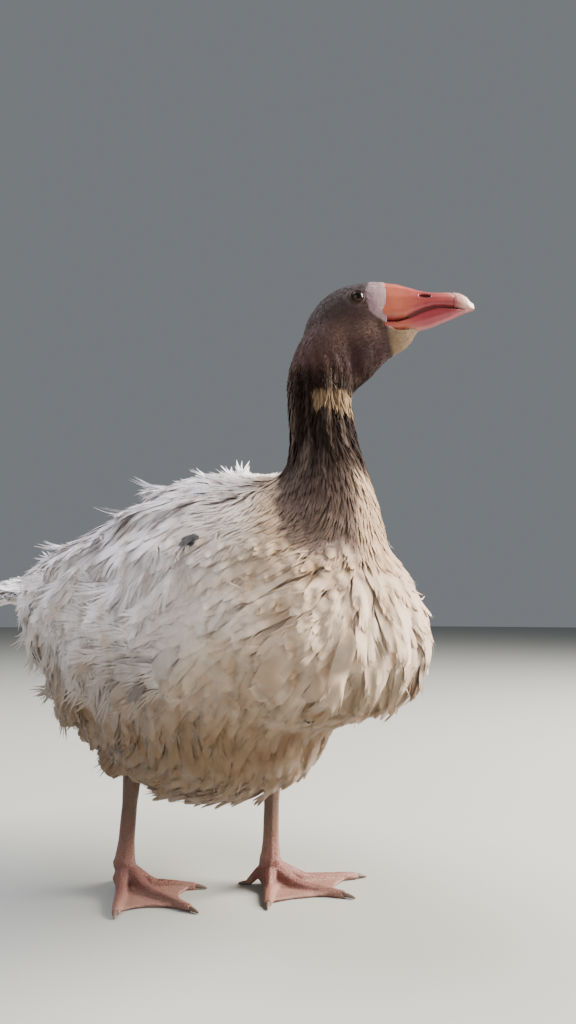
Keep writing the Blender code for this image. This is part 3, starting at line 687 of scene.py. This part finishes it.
def bill_finish(name, roughness):
    """Horn, with fine creases along the bill and a comb of ridges at the mouth's edge."""
    finish, shader, wire = new_finish(name, roughness, Coat_Weight=0.15, Coat_Roughness=0.3)
    place, gap = wire.attribute("in_head", "place"), wire.attribute("from_mouth", "number")
    x, y, z = place.axes()
    grain = place.noise(900.0, 3.0)
    streaks = place.noise(420.0, 3.0, 0.6, (0.25, 1.0, 1.0))
    creases = place.noise(260.0, 3.0, 0.6, (0.35, 1.0, 1.0))
    comb = (x * COMB_PITCH).sine() * gap.size().over(0.0030, 0.0010) * x.over(0.008, 0.014)
    feed(shader, "Base Color", horn_tint(place, gap, streaks))
    feed(shader, "Roughness", grain * 0.16 + (roughness - 0.08))
    bumped(shader, grain * 0.5 + creases + streaks * 0.3 + comb * 0.35, 0.4, 0.0006)
    return finish


horn = bill_finish("bill_horn", 0.40)
bill_piece("upper_jaw", "upper_bill", 0.0008, 0.0002, horn)
bill_piece("lower_jaw", "lower_bill", 0.0008, 0.0003, horn)
bill_piece("nail", "bill_nail", 0.0006, 0.0008, bill_finish("nail_horn", 0.34))


# Legs: bare scaly shanks that broaden into webbed feet, in one skin from hock to toe tip.
# The claws are short blunt horn, set in the toes' ends.
SCALE_CELLS = 330.0
WEB_HIGH = (0.0085, 0.0045)
TOES_HIGH = (0.0080, 0.0105)
SHANK_FROM = (0.030, 0.085)
TOES = ("inner", "middle", "outer", "hind")


leg_paint, shader, wire = new_finish("leg_skin", 0.58)
place = wire.place()
x, y, z = place.axes()
blotch = place.noise(55.0, 3.0)
grain = place.noise(900.0, 2.0)
cells = place.node("TexVoronoi", {"feature": "DISTANCE_TO_EDGE"}, Vector=place, Scale=SCALE_CELLS)
groove = cells.over(0.00, 0.16)
rose = blotch.mix((0.225, 0.092, 0.070), (0.31, 0.150, 0.120))
brown = blotch.mix((0.080, 0.046, 0.029), (0.140, 0.080, 0.054))
tint = (z + (blotch - 0.5) * 0.05).over(*SHANK_FROM).mix(rose, brown)
tint = (z.over(*WEB_HIGH) * 0.6).mix(tint, blotch.mix((0.26, 0.135, 0.105), (0.40, 0.225, 0.18)))
toes = (z + (blotch - 0.5) * 0.004).over(*TOES_HIGH) * z.over(0.034, 0.022)
tint = (toes * 0.55).mix(tint, (0.165, 0.048, 0.040))
feed(shader, "Base Color", (groove * 0.45 + 0.55).mix((0.085, 0.040, 0.028), tint))
bumped(shader, groove * 0.8 + grain * 0.3, 0.6, 0.0007)

claw_paint, shader, wire = new_finish("claw_horn", 0.42)
streaks = wire.place().noise(500.0, 3.0)
feed(shader, "Base Color", streaks.mix((0.095, 0.060, 0.048), (0.215, 0.150, 0.120)))
bumped(shader, streaks, 0.3, 0.0004)

for which in ("left", "right"):
    leg = melted(f"leg_{which}", [f"shank_{which}", f"foot_{which}"], 0.0011, 7, 0.0004)
    leg.data.shade_smooth()
    leg.data.materials.append(leg_paint)
    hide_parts(f"shank_{which}", f"foot_{which}")
    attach(leg, "root")
    tips = [f"claw_{which}_{toe}" for toe in TOES]
    claws = melted(f"claws_{which}", tips, 0.0005, 4, 0.0003)
    claws.data.shade_smooth()
    claws.data.materials.append(claw_paint)
    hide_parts(*tips)
    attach(claws, "root")


# Coat: thousands of thin closed feathers rooted in the skin, each laid along the body and over the next.
# How far a feather stands off comes from the room between the skin and the solids' outer face.
# Its shading leans towards that outer face, as soft plumage scatters light, and follows shallow folds in it.
COAT_ROOM = (0.0012, 0.0150)
HEAD_ROOM = 0.0022
HEAD_ABOVE = 0.525
ROOT_DEPTH = 0.0006
FOLD_WAVES = np.random.default_rng(21).normal(size=(10, 3)) * (210.0, 210.0, 70.0)
FOLD_SHIFTS = np.random.default_rng(22).random(10) * 6.28
FOLD_HEIGHT = 0.0034
SEEN_AT = 0.7
PATCH = 0.003
THIN = [(1.0, 0.0), (0.0, 0.16), (-1.0, 0.0)]
KEELED = [(1.0, -0.10), (0.0, 0.10), (-1.0, -0.10)]
CUPPED = [(1.0, -0.22), (0.55, -0.02), (0.0, 0.05), (-0.55, -0.02), (-1.0, -0.22), (0.0, -0.06)]

chance = np.random.default_rng(7)


def unit(vectors):
    return vectors / np.linalg.norm(vectors, axis=1)[:, None]


skin_spots = points_of(skin.data)
skin.data.calc_loop_triangles()
skin_tris = np.array([t.vertices[:] for t in skin.data.loop_triangles])
skin_normals = unit(eased(np.array([v.normal for v in skin.data.vertices]), 0.5, 4))
skin_tree = BVHTree.FromPolygons(skin_spots.tolist(), skin_tris.tolist())

shell_points, shell_faces = [], []
for name in SKIN_NODES:
    start = len(shell_points)
    shell_points += [v.co[:] for v in nodes[name].data.vertices]
    shell_faces += [[start + i for i in p.vertices] for p in nodes[name].data.polygons]
shell_tree = BVHTree.FromPolygons(shell_points, shell_faces)
room = np.empty(len(skin_spots))
for i, (spot, normal) in enumerate(zip(skin_spots, skin_normals)):
    hit = shell_tree.ray_cast(Vector(spot), Vector(normal), 0.05)
    room[i] = hit[3] if hit[0] is not None else 0.006
room = np.clip(eased(room[:, None], 0.5, 3)[:, 0], *COAT_ROOM)
room = np.where(skin_spots[:, 2] - home.z > HEAD_ABOVE, np.minimum(room, HEAD_ROOM), room)
outer = bpy.data.meshes.new("outer")
outer.from_pydata((skin_spots + skin_normals * room[:, None]).tolist(), [], skin_tris.tolist())
outer_normals = unit(eased(np.array([n.vector for n in outer.vertex_normals]), 0.5, 2))
bpy.data.meshes.remove(outer)


def grounded(spots):
    """The nearest points of the skin, its normals there, the coat's room above them and its outer normals."""
    found = [skin_tree.find_nearest(Vector(s)) for s in spots]
    ground = np.array([f[0][:] for f in found])
    corners = skin_tris[[f[2] for f in found]]
    return ground, unit(skin_normals[corners].mean(1)), room[corners].mean(1), outer_normals[corners].mean(1)


def scattered(pick, spacing):
    """Places on the picked faces of the skin, about one for each square of that spacing."""
    chosen = skin_tris[pick]
    a, b, c = (skin_spots[chosen[:, k]] for k in range(3))
    area = np.linalg.norm(np.cross(b - a, c - a), axis=1) / 2
    wanted = int(area.sum() / spacing ** 2 * 2.2)
    which = chance.choice(len(chosen), wanted, p=area / area.sum())
    u = np.sqrt(chance.random(wanted))[:, None]
    v = chance.random(wanted)[:, None]
    spots = a[which] * (1 - u) + b[which] * (u * (1 - v)) + c[which] * (u * v)
    _, first = np.unique(np.floor(spots / spacing).astype(int), axis=0, return_index=True)
    return spots[first]


def spread(n, low, high):
    return chance.uniform(low, high, n)


def ripple(spots, scale, seed):
    """A smooth wandering number from about -1 to 1 for each place."""
    own = np.random.default_rng(seed)
    waves = own.normal(size=(6, 3)) * scale
    shifts = own.random(6) * 6.28
    return np.sin((spots - origin) @ waves.T + shifts).mean(1) * 2.0


def folds(spots):
    """How high each place stands in the coat's soft folds, from about -1 to 1, and which way that rises."""
    turns = (spots - origin) @ FOLD_WAVES.T + FOLD_SHIFTS
    return np.sin(turns).mean(1) * 2.2, np.cos(turns) @ FOLD_WAVES * 0.22


def lie_of(ground, normal):
    """Which way the coat lies: back along the head, down the neck, back and down over the body."""
    x, y, z = (ground - origin).T
    back = in_head(ground)[:, 0]
    down = -0.15 - 0.75 * smoothstep(-0.035, -0.075, back)
    along_head = np.stack([-np.ones(len(ground)), np.zeros(len(ground)), down], 1) @ np.array(head_turn).T
    lie = np.tile([-0.72, 0.0, -0.70], (len(ground), 1))
    for share, way in (
        (smoothstep(-0.15, -0.22, x), np.array([-1.0, 0.0, -0.10])),
        (smoothstep(0.20, 0.15, z) * smoothstep(0.4, -0.2, normal[:, 2]), np.array([-0.75, 0.0, -0.65])),
        (smoothstep(0.34, 0.40, z) * smoothstep(0.085, 0.110, x), np.array([0.0, 0.0, -1.0])),
        (smoothstep(0.505, 0.535, z), along_head),
    ):
        lie = lie * (1 - share[:, None]) + way * share[:, None]
    lie = lie - normal * (lie * normal).sum(1)[:, None]
    return lie / np.maximum(np.linalg.norm(lie, axis=1), 1e-6)[:, None]


def combed(roots, length, rise, wander, curl, flick, steps=6):
    """A centre line for each feather: it follows the lie over the skin, rising to the coat's outer face."""
    line = np.empty((len(roots), steps + 1, 3))
    up = np.empty_like(line)
    face = np.empty_like(line)
    spot = roots.copy()
    for k in range(steps + 1):
        t = k / steps
        ground, normal, space, face[:, k] = grounded(spot)
        height = space * rise * t ** 0.45 + flick * t ** 3 - ROOT_DEPTH * (1 - t)
        line[:, k] = ground + normal * height[:, None]
        up[:, k] = normal
        lie = lie_of(ground, normal)
        turn = (wander + curl * t)[:, None]
        heading = lie * np.cos(turn) + np.cross(normal, lie) * np.sin(turn)
        spot = ground + heading * (length / steps)[:, None]
    for _ in range(2):
        line[:, 1:-1] = (line[:, :-2] + 2.0 * line[:, 1:-1] + line[:, 2:]) / 4.0
    return line, up, face


def gathered(line, roots, spacing, pull):
    """Draws the feathers' tips towards those of a few leaders, so that they part into locks."""
    leaders = np.unique(np.floor(roots / spacing).astype(int), axis=0, return_index=True)[1]
    tree = kdtree.KDTree(len(leaders))
    for i in leaders:
        tree.insert(Vector(roots[i]), int(i))
    tree.balance()
    led = np.array([tree.find(Vector(r))[1] for r in roots])
    steps = line.shape[1] - 1
    share = (np.arange(steps + 1) / steps)[None, :, None] ** 1.4 * pull[:, None, None]
    return line + (line[led] - line) * share


def blade(cuts, outline, section, path=None):
    """A thin closed blade with pinched ends: (along, across, up) of its corners, and its triangles."""
    bm = bmesh.new()
    bmesh.ops.create_cone(bm, segments=len(section), radius1=1.0, radius2=1.0, depth=1.0, cap_ends=False)
    long_edges = [e for e in bm.edges if abs(e.verts[0].co.z - e.verts[1].co.z) > 0.5]
    bmesh.ops.subdivide_edges(bm, edges=long_edges, cuts=cuts)
    for v in bm.verts:
        along = v.co.z + 0.5
        k = round(math.atan2(v.co.y, v.co.x) / (2 * math.pi) * len(section)) % len(section)
        half = outline(along)
        s, y, lift = path(along) if path else (along, 0.0, 0.0)
        v.co = (s, y + section[k][0] * half, lift + section[k][1] * half)
    bmesh.ops.remove_doubles(bm, verts=bm.verts, dist=1e-5)
    bmesh.ops.triangulate(bm, faces=bm.faces)
    bm.verts.index_update()
    corners = np.array([v.co[:] for v in bm.verts])
    faces = np.array([[v.index for v in f.verts] for f in bm.faces])
    bm.free()
    return corners, faces


def spindle(width, skew=1.0, blunt=1.0):
    """An outline that swells to the given half width and is pinched at both ends."""
    return lambda t: width * math.sin(math.pi * t ** skew) ** blunt if 0 < t < 1 else 0.0


def together(blades):
    corners, faces, start = [], [], 0
    for c, f in blades:
        corners.append(c)
        faces.append(f + start)
        start += len(c)
    return np.concatenate(corners), np.concatenate(faces)


def strand(cuts=3):
    """One narrow blade that is broadest near its root."""

    def tapering(t):
        return math.sin(math.pi * min(1.0, 0.12 + 0.88 * t)) ** 0.7 if 0 < t < 1 else 0.0

    return blade(cuts, tapering, KEELED)


def plume(locks, spread_out, own):
    """A soft open feather: a narrow shaft with loose locks that leave it on both sides."""
    made = [blade(4, spindle(0.07, blunt=0.5), KEELED)]
    for i in range(locks):
        for side in (-1, 1):
            start = 0.02 + 0.62 * i / locks + own.uniform(0, 0.05)
            end = min(1.08, start + own.uniform(0.30, 0.46))
            out = side * spread_out * own.uniform(0.65, 1.1) * (1.0 - 0.45 * start)
            width = own.uniform(0.07, 0.12)
            lift = own.uniform(-0.10, 0.22)

            def leaving(t):
                y = out * t ** 0.75
                return start + (end - start) * t, y, lift * t * t - 0.30 * y * y

            made.append(blade(2, spindle(width, 0.6), THIN, leaving))
    return together(made)


def lobe(own, fringe=5, sway=0.25):
    """A broad soft feather with a rounded end, cupped over the one below, and a thin loose fringe."""
    lean, twist = own.uniform(-sway, sway), own.uniform(0.0, 6.28)

    def wave(s):
        return lean * math.sin(3.2 * s + twist) * s

    def vane(t):
        s = 1.0 - (1.0 - t) ** 1.5
        return s, wave(s), 0.0

    def rounded(t):
        s = 1.0 - (1.0 - t) ** 1.5
        return 0.78 * max(0.0, 1.0 - abs(2.0 * s ** 0.85 - 1.0) ** 2.6) ** 0.5

    made = [blade(7, rounded, CUPPED, vane)]
    for i in range(fringe):
        y = (i + 0.5) / fringe * 1.5 - 0.75 + own.uniform(-0.10, 0.10)
        start = 0.78 - 0.30 * y * y
        end = 1.04 - 0.26 * y * y + own.uniform(-0.02, 0.07)

        def hair(t):
            s = start + (end - start) * t
            return s, wave(min(s, 1.0)) + y * (0.9 + 0.25 * t), -0.30 * y * y

        made.append(blade(2, spindle(0.05, 0.6), THIN, hair))
    return together(made)


def softly_shaded(mesh, corners, faces, outward, folded, soft):
    """Leans the mesh's normals towards the coat's outer face and its folds, on both sides of each blade."""
    bare = np.array([n.vector for n in mesh.vertex_normals])
    if folded:
        slope = folds(corners)[1]
        outward = unit(outward - (slope - outward * (slope * outward).sum(1)[:, None]) * FOLD_HEIGHT)
    a, b, c = (corners[faces[:, k]] for k in range(3))
    facing = np.sign((np.cross(b - a, c - a) * outward[faces].mean(1)).sum(1))
    bare = bare[faces] * (1.0 - soft) + outward[faces] * (facing * soft)[:, None, None]
    bare /= np.maximum(np.linalg.norm(bare, axis=2), 1e-6)[:, :, None]
    mesh.normals_split_custom_set(bare.reshape(-1, 3))


def grown_coat(name, kinds, combing, width, roots, unwrap, finish, slot, folded=True, blur=0.6, soft=0.88,
               seen=None):
    """Sets a copy of one of the kinds along each centre line and joins them all into one piece."""
    line, up, face = combing
    steps = line.shape[1] - 1
    seen = line[:, round(SEEN_AT * steps)] if seen is None else seen
    pick = chance.integers(0, len(kinds), len(line))
    seed = chance.random(len(line))
    place = unwrap(roots)
    place = 0.004 + 0.992 * (place - place.min(0)) / np.ptp(place, axis=0)
    along = np.diff(line, axis=1)
    along = np.concatenate([along, along[:, -1:]], 1)
    across = np.cross(up, along)
    across /= np.maximum(np.linalg.norm(across, axis=2), 1e-9)[:, :, None]
    start, parts = 0, []
    for kind, (shape, tris) in enumerate(kinds):
        mine = np.nonzero(pick == kind)[0]
        if not len(mine):
            continue
        s = np.clip(shape[:, 0], 0.0, 1.0) * steps
        k = np.minimum(s.astype(int), steps - 1)
        f = (s - k)[None, :, None]
        past_end = np.maximum(shape[:, 0] - 1.0, 0.0)[None, :, None] * steps
        centre, side, rise, outward = (v[mine][:, k] * (1 - f) + v[mine][:, k + 1] * f
                                       for v in (line, across, up, face))
        w = width[mine][:, None, None]
        made = centre + along[mine][:, -1:] * past_end
        made = made + side * shape[None, :, 1:2] * w + rise * shape[None, :, 2:3] * w
        own = np.empty((len(mine), len(shape), 3))
        own[:, :, :2] = shape[None, :, :2]
        own[:, :, 2] = seed[mine][:, None]
        shown_from = seen[mine][:, None] * (1 - blur) + made * blur
        cell = np.stack([(shape[:, 1] + 1.3) / 2.6 - 0.5, shape[:, 0] - 0.5], 1) * PATCH
        cell = place[mine][:, None] + cell[None]
        numbered = tris[None] + np.arange(len(mine))[:, None, None] * len(shape) + start
        start += len(mine) * len(shape)
        parts.append([v.reshape(-1, v.shape[-1]) for v in (made, outward, shown_from, own, cell, numbered)])
    corners, outward, seen_at, strands, patch, faces = (np.concatenate(part) for part in zip(*parts))
    mesh = bpy.data.meshes.new(name)
    mesh.vertices.add(len(corners))
    mesh.vertices.foreach_set("co", corners.ravel())
    mesh.loops.add(faces.size)
    mesh.loops.foreach_set("vertex_index", faces.ravel().astype(np.int32))
    mesh.polygons.add(len(faces))
    mesh.polygons.foreach_set("loop_start", np.arange(0, faces.size, 3, dtype=np.int32))
    mesh.update(calc_edges=True)
    marked(mesh, "seen_at", seen_at)
    marked(mesh, "strand", strands)
    marked(mesh, "fold", folds(corners)[0] if folded else np.zeros(len(corners)))
    bake = mesh.uv_layers.new(name="OFBake")
    bake.data.foreach_set("uv", np.clip(patch, 0.0, 1.0)[faces.ravel()].ravel())
    mesh.shade_smooth()
    softly_shaded(mesh, corners, faces, outward, folded, soft)
    mesh.materials.append(finish)
    obj = shown(name, mesh)
    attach(obj, "root")


def feather_finish(name, root_dark, tip_light, sheen):
    """Plumage: the goose's colours where each feather shows, with painted shade darkening it down at its root
    and painted light making its tip paler, and painted shade, darker and browner, in the hollows of the
    coat's folds.
    """
    soft = {"Sheen_Weight": sheen, "Sheen_Roughness": 0.6, "Specular_IOR_Level": 0.10}
    finish, shader, wire = new_finish(name, 0.85, **soft)
    s, y, seed = wire.attribute("strand", "place").axes()
    fold = wire.attribute("fold", "number")
    # Painted shade and light: darker at the root, down in the coat, and paler at the tip, with a random tone
    # for each feather.
    tone = root_dark + s.over(0.0, 0.75) * (tip_light - root_dark) + (seed - 0.5) * 0.10
    colour = markings_and_shade(wire.attribute("seen_at", "place"))
    # Painted shade in the folds' hollows: darker and browner.
    hollow_shade = colour.vectors("MULTIPLY", (0.84, 0.75, 0.66))
    feed(shader, "Base Color", fold.over(0.0, -0.9).mix(colour, hollow_shade).shade(tone))
    barbs = ((s * 55.0 - y.size() * 24.0 + seed * 9.0) * 6.2832).sine()
    bumped(shader, barbs, 0.22, 0.0006)
    return finish


def about(centre, axis, top):
    """An unwrap of the skin's own shape: the turn about an axis, and the distance along it."""
    centre, axis, top = (np.array(Vector(v)) for v in (centre, axis, top))
    axis = axis / np.linalg.norm(axis)
    top = top - axis * (top @ axis)
    top = top / np.linalg.norm(top)
    side = np.cross(axis, top)

    def unwrap(spots):
        rel = spots - centre
        return np.stack([np.arctan2(rel @ side, rel @ top), rel @ axis], 1)

    return unwrap


# Body feathers: broad soft lobes ahead and below, looser open plumes among them on the back, sides and belly.
# Each grows from the skin in its own patch, and curly tufts stand a little out of the rest.
TRUNK_MIDDLE = Vector((0.0, 0.0, 0.27))
TRUNK_AXIS = (0.956, 0.0, 0.292)

round_trunk = about(home + TRUNK_MIDDLE, TRUNK_AXIS, (0.0, 0.0, 1.0))
round_under = about(home + TRUNK_MIDDLE, TRUNK_AXIS, (0.0, 0.0, -1.0))
body_finish = feather_finish("body_plumage", 0.96, 1.03, 0.20)

own = np.random.default_rng(3)
plumes = [plume(7, 0.80, own) for _ in range(4)]
lobes = [lobe(own) for _ in range(6)]
smooth_lobes = [lobe(own, 3, 0.12) for _ in range(5)]
mixed = lobes + plumes

middles = skin_spots[skin_tris].mean(1)
x, y, z = (middles - origin).T
facing_up = skin_normals[skin_tris].mean(1)[:, 2]
owned_by = region[skin_tris[:, 0]]
is_head = z > 0.497
is_neck = (z > 0.338) & (z < 0.515) & (x > 0.085)
is_tail = owned_by == "tail"
is_thigh = np.isin(owned_by, ["thigh_left", "thigh_right"]) & (z < 0.20)
rest = ~(is_head | (is_neck & (z > 0.368)) | is_tail | is_thigh)
is_breast = rest & (x > 0.085) & (z > 0.165)
is_belly = rest & ~is_breast & ((facing_up < -0.55) | (z < 0.165))
is_back = rest & ~is_breast & ~is_belly & (facing_up > 0.45)
is_side = rest & ~is_breast & ~is_belly & ~is_back


def feathers_on(name, pick, kinds, spacing, length, width, rise, wild, unwrap=round_trunk, pull=0.35,
                lock=0.022, flick=0.0):
    """Covers the picked faces: wild feathers wander off the lie, and those of a lock are pulled together."""
    roots = scattered(pick, spacing)
    n = len(roots)
    tousle = ripple(roots, 26.0, 4) * wild
    high = 1.0 + 0.16 * folds(roots)[0]
    line, up, face = combed(roots, spread(n, *length), spread(n, *rise) * high,
                            tousle + chance.normal(0, 0.10, n), chance.normal(0, 0.35, n) * wild,
                            flick * chance.normal(0.3, 0.7, n))
    line = gathered(line, roots, lock, spread(n, 0.2, 1.0) * pull)
    grown_coat(name, kinds, (line, up, face), spread(n, *width), roots, unwrap, body_finish, "body_feathers")


feathers_on("coat_breast", is_breast, lobes, spacing=0.0120, length=(0.036, 0.052), width=(0.009, 0.013),
            rise=(0.80, 1.0), wild=0.25, pull=0.2, lock=0.03)
feathers_on("coat_breast_lobes", is_breast & (z < 0.345), smooth_lobes, spacing=0.0190, length=(0.042, 0.060),
            width=(0.0075, 0.0105), rise=(0.95, 1.05), wild=0.3, pull=0.05, lock=0.03)
for name, pick, longest in (("coat_back", is_back, 0.072), ("coat_side_left", is_side & (y > 0), 0.078),
                            ("coat_side_right", is_side & (y <= 0), 0.078)):
    feathers_on(name, pick, mixed, spacing=0.0100, length=(0.045, longest), width=(0.009, 0.014),
                rise=(0.75, 1.0), wild=0.6, pull=0.25, lock=0.030, flick=0.002)
feathers_on("coat_belly", is_belly, mixed, spacing=0.0105, length=(0.034, 0.052), width=(0.008, 0.012),
            rise=(0.7, 1.15), wild=0.6, unwrap=round_under, pull=0.4, lock=0.024, flick=0.005)
feathers_on("coat_thighs", is_thigh, lobes, spacing=0.0080, length=(0.028, 0.042), width=(0.006, 0.009),
            rise=(0.6, 1.0), wild=0.4, unwrap=round_under, pull=0.4, lock=0.018)
feathers_on("coat_tufts", (is_back | is_side) & (z > 0.20), plumes, spacing=0.0235, length=(0.034, 0.056),
            width=(0.010, 0.014), rise=(1.0, 1.3), wild=1.0, pull=0.3, lock=0.030, flick=0.013)


# Tail: short soft feathers cover its fan on all sides, and stiff straight quills lie in its two flat faces.
# The last quills reach a little past the fan's end.
QUILL_SPACING = 0.0090
QUILL_STEPS = 6
QUILL_LENGTH = (0.030, 0.095)
QUILL_PAST_END = 0.014
QUILL_ROOM = 0.0060
QUILL_HIGHEST_LIE = 0.12
FAN_FLATNESS = 0.55

feathers_on("coat_tail_cover", is_tail, smooth_lobes, spacing=0.0100, length=(0.028, 0.042),
            width=(0.007, 0.010), rise=(0.6, 1.0), wild=0.2, pull=0.1)
roots = scattered(is_tail & (np.abs(facing_up) > FAN_FLATNESS), QUILL_SPACING)
n = len(roots)
ground, normal, space, face = grounded(roots)
lie = np.stack([-np.ones(n), chance.normal(0.0, 0.08, n), chance.normal(-0.02, 0.07, n)], 1)
lie = unit(lie - normal * (lie * normal).sum(1)[:, None] * 0.8)
flat = lie[:, 2] < QUILL_HIGHEST_LIE
roots, ground, normal, space, face, lie = (a[flat] for a in (roots, ground, normal, space, face, lie))
n = len(roots)
reach = np.clip(ground[:, 0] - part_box("tail")[0].x + QUILL_PAST_END, *QUILL_LENGTH)
along = (np.arange(QUILL_STEPS + 1) / QUILL_STEPS)[None, :, None]
height = (np.minimum(space, QUILL_ROOM) * spread(n, 0.7, 1.0))[:, None, None] * along ** 0.45
forth = lie[:, None] * (reach * spread(n, 0.85, 1.05))[:, None, None] * along
combing = (ground[:, None] + forth + normal[:, None] * height,
           np.repeat(normal[:, None], QUILL_STEPS + 1, 1), np.repeat(face[:, None], QUILL_STEPS + 1, 1))
grown_coat("coat_tail", smooth_lobes, combing, spread(n, 0.007, 0.010), roots, round_trunk, body_finish,
           "body_feathers")


# Wisps: single loose barbs, hair-thin, that stray from the coat all over its upper part.
# They catch the light at its edge and blur it.
feathers_on("coat_wisps", rest & (z > 0.22), [strand()], spacing=0.0230, length=(0.030, 0.050),
            width=(0.0006, 0.0010), rise=(1.0, 1.2), wild=1.0, pull=0.1, lock=0.03, flick=0.004)


# Lone feathers: a few lie apart from the rest, small slate ones, two of them set in the painted shadow above
# the right thigh, and three broad pale ones on the breast.
# Each shows about where it is placed, so its root lies a little way back against the lie.
SLATE_SIZE = (0.024, 0.0060)
BROAD_FEATHERS = [
    ((0.1740, -0.0930, 0.2400), 0.082, 0.0195),
    ((0.1500, -0.0990, 0.2240), 0.064, 0.0150),
    ((0.2050, -0.0560, 0.2450), 0.060, 0.0130),
]


def lone_feathers(name, placed, rise, stray, turn, finish, **shading):
    n = len(placed)
    spots = np.array([home + Vector(spot) for spot, _, _ in placed])
    length, width = np.array([sizes for _, *sizes in placed]).T
    ground, normal, _, _ = grounded(spots + chance.normal(0, stray, spots.shape))
    roots = ground - lie_of(ground, normal) * length[:, None] * 0.55
    combing = combed(roots, length, np.full(n, rise), chance.normal(0, turn, n), np.zeros(n), np.zeros(n))
    grown_coat(name, smooth_lobes, combing, width, roots, round_trunk, finish, "body_feathers", **shading)


slate = [(spot, *SLATE_SIZE) for spot, _, _ in DARK_FEATHERS_AND_THIGH_SHADOW for _ in range(2)]
slate_spots = np.array([home + Vector(spot) for spot, _, _ in slate])
broad_finish = feather_finish("broad_plumage", 1.08, 1.16, 0.2)
# Dark lone feathers, two of them a painted shadow above the right thigh.
lone_feathers("coat_dark", slate, 1.60, 0.0020, 0.16, body_finish, blur=0.0, seen=slate_spots)
lone_feathers("coat_broad", BROAD_FEATHERS, 1.75, 0.0, 0.0, broad_finish)


# Neck: short narrow feathers run straight down it, and clump along its furrows into dark and light streaks.
# They lengthen towards its base, where they pass into the breast.
NECK_SPACING = 0.0025

round_neck = about(home + Vector((NECK_MIDDLE, 0.0, 0.45)), (0.0, 0.0, 1.0), (-1.0, 0.0, 0.0))
neck_finish = feather_finish("neck_plumage", 0.78, 1.05, 0.0)


def strands_on(name, roots, length, width, rise, wild, lock, pull, unwrap, finish, slot, cuts=3, steps=4,
               soft=0.84):
    """Covers the roots with narrow strands, which are drawn together into locks."""
    n = len(roots)
    tousle = ripple(roots, 40.0, 9) * wild
    line, up, face = combed(roots, length, spread(n, *rise), tousle + chance.normal(0, 0.10, n),
                            chance.normal(0, 0.3, n) * wild, np.zeros(n), steps)
    line = gathered(line, roots, lock, spread(n, 0.2, 1.0) * pull)
    grown_coat(name, [strand(cuts)], (line, up, face), width, roots, unwrap, finish, slot, False, 0.3, soft)


roots = scattered(is_neck, NECK_SPACING)
n = len(roots)
low = smoothstep(0.515, 0.440, roots[:, 2] - home.z)
length = (0.008 + 0.020 * low) * spread(n, 0.8, 1.2)
width = 0.0008 + 0.0006 * low * spread(n, 0.6, 1.2)
strands_on("coat_neck", roots, length, width, rise=(0.45, 1.0), wild=0.10, lock=0.007, pull=0.45,
           unwrap=round_neck, finish=neck_finish, slot="neck_feathers")


# Face: a close velvet of tiny feathers lies back from the bill over the cheeks, crown and nape.
# It leaves the lids bare, and stops just short of the horn.
FACE_SPACING = 0.0016
EYE_CLEAR = 0.0096
HORN_CLEAR = 0.0024

head_middle = bill_root - head_turn @ Vector((0.04, 0.0, 0.008))
round_head = about(head_middle, head_turn @ Vector((1.0, 0.0, 0.0)), (0.0, 0.0, 1.0))
face_finish = feather_finish("face_plumage", 0.94, 1.04, 0.05)

face_spots = in_head(middles)
beside = np.abs(face_spots[:, 1:2])
mirrored = np.concatenate([face_spots[:, :1], beside, face_spots[:, 2:]], 1)
near_eye = np.linalg.norm(mirrored - np.array(EYE_IN_HEAD), axis=1)
behind_horn = face_spots[:, 0] < np.interp(face_spots[:, 2], HORN_HIGH, HORN_AT) - HORN_CLEAR
roots = scattered(is_head & (near_eye > EYE_CLEAR) & behind_horn, FACE_SPACING)
n = len(roots)
low = smoothstep(0.560, 0.505, roots[:, 2] - home.z)
length = (0.0040 + 0.0035 * low) * spread(n, 0.8, 1.2)
width = 0.00055 + 0.00025 * low
strands_on("coat_face", roots, length, width, rise=(0.2, 0.6), wild=0.08, lock=0.004, pull=0.25,
           unwrap=round_head, finish=face_finish, slot="head_feathers", cuts=1, steps=2, soft=0.95)
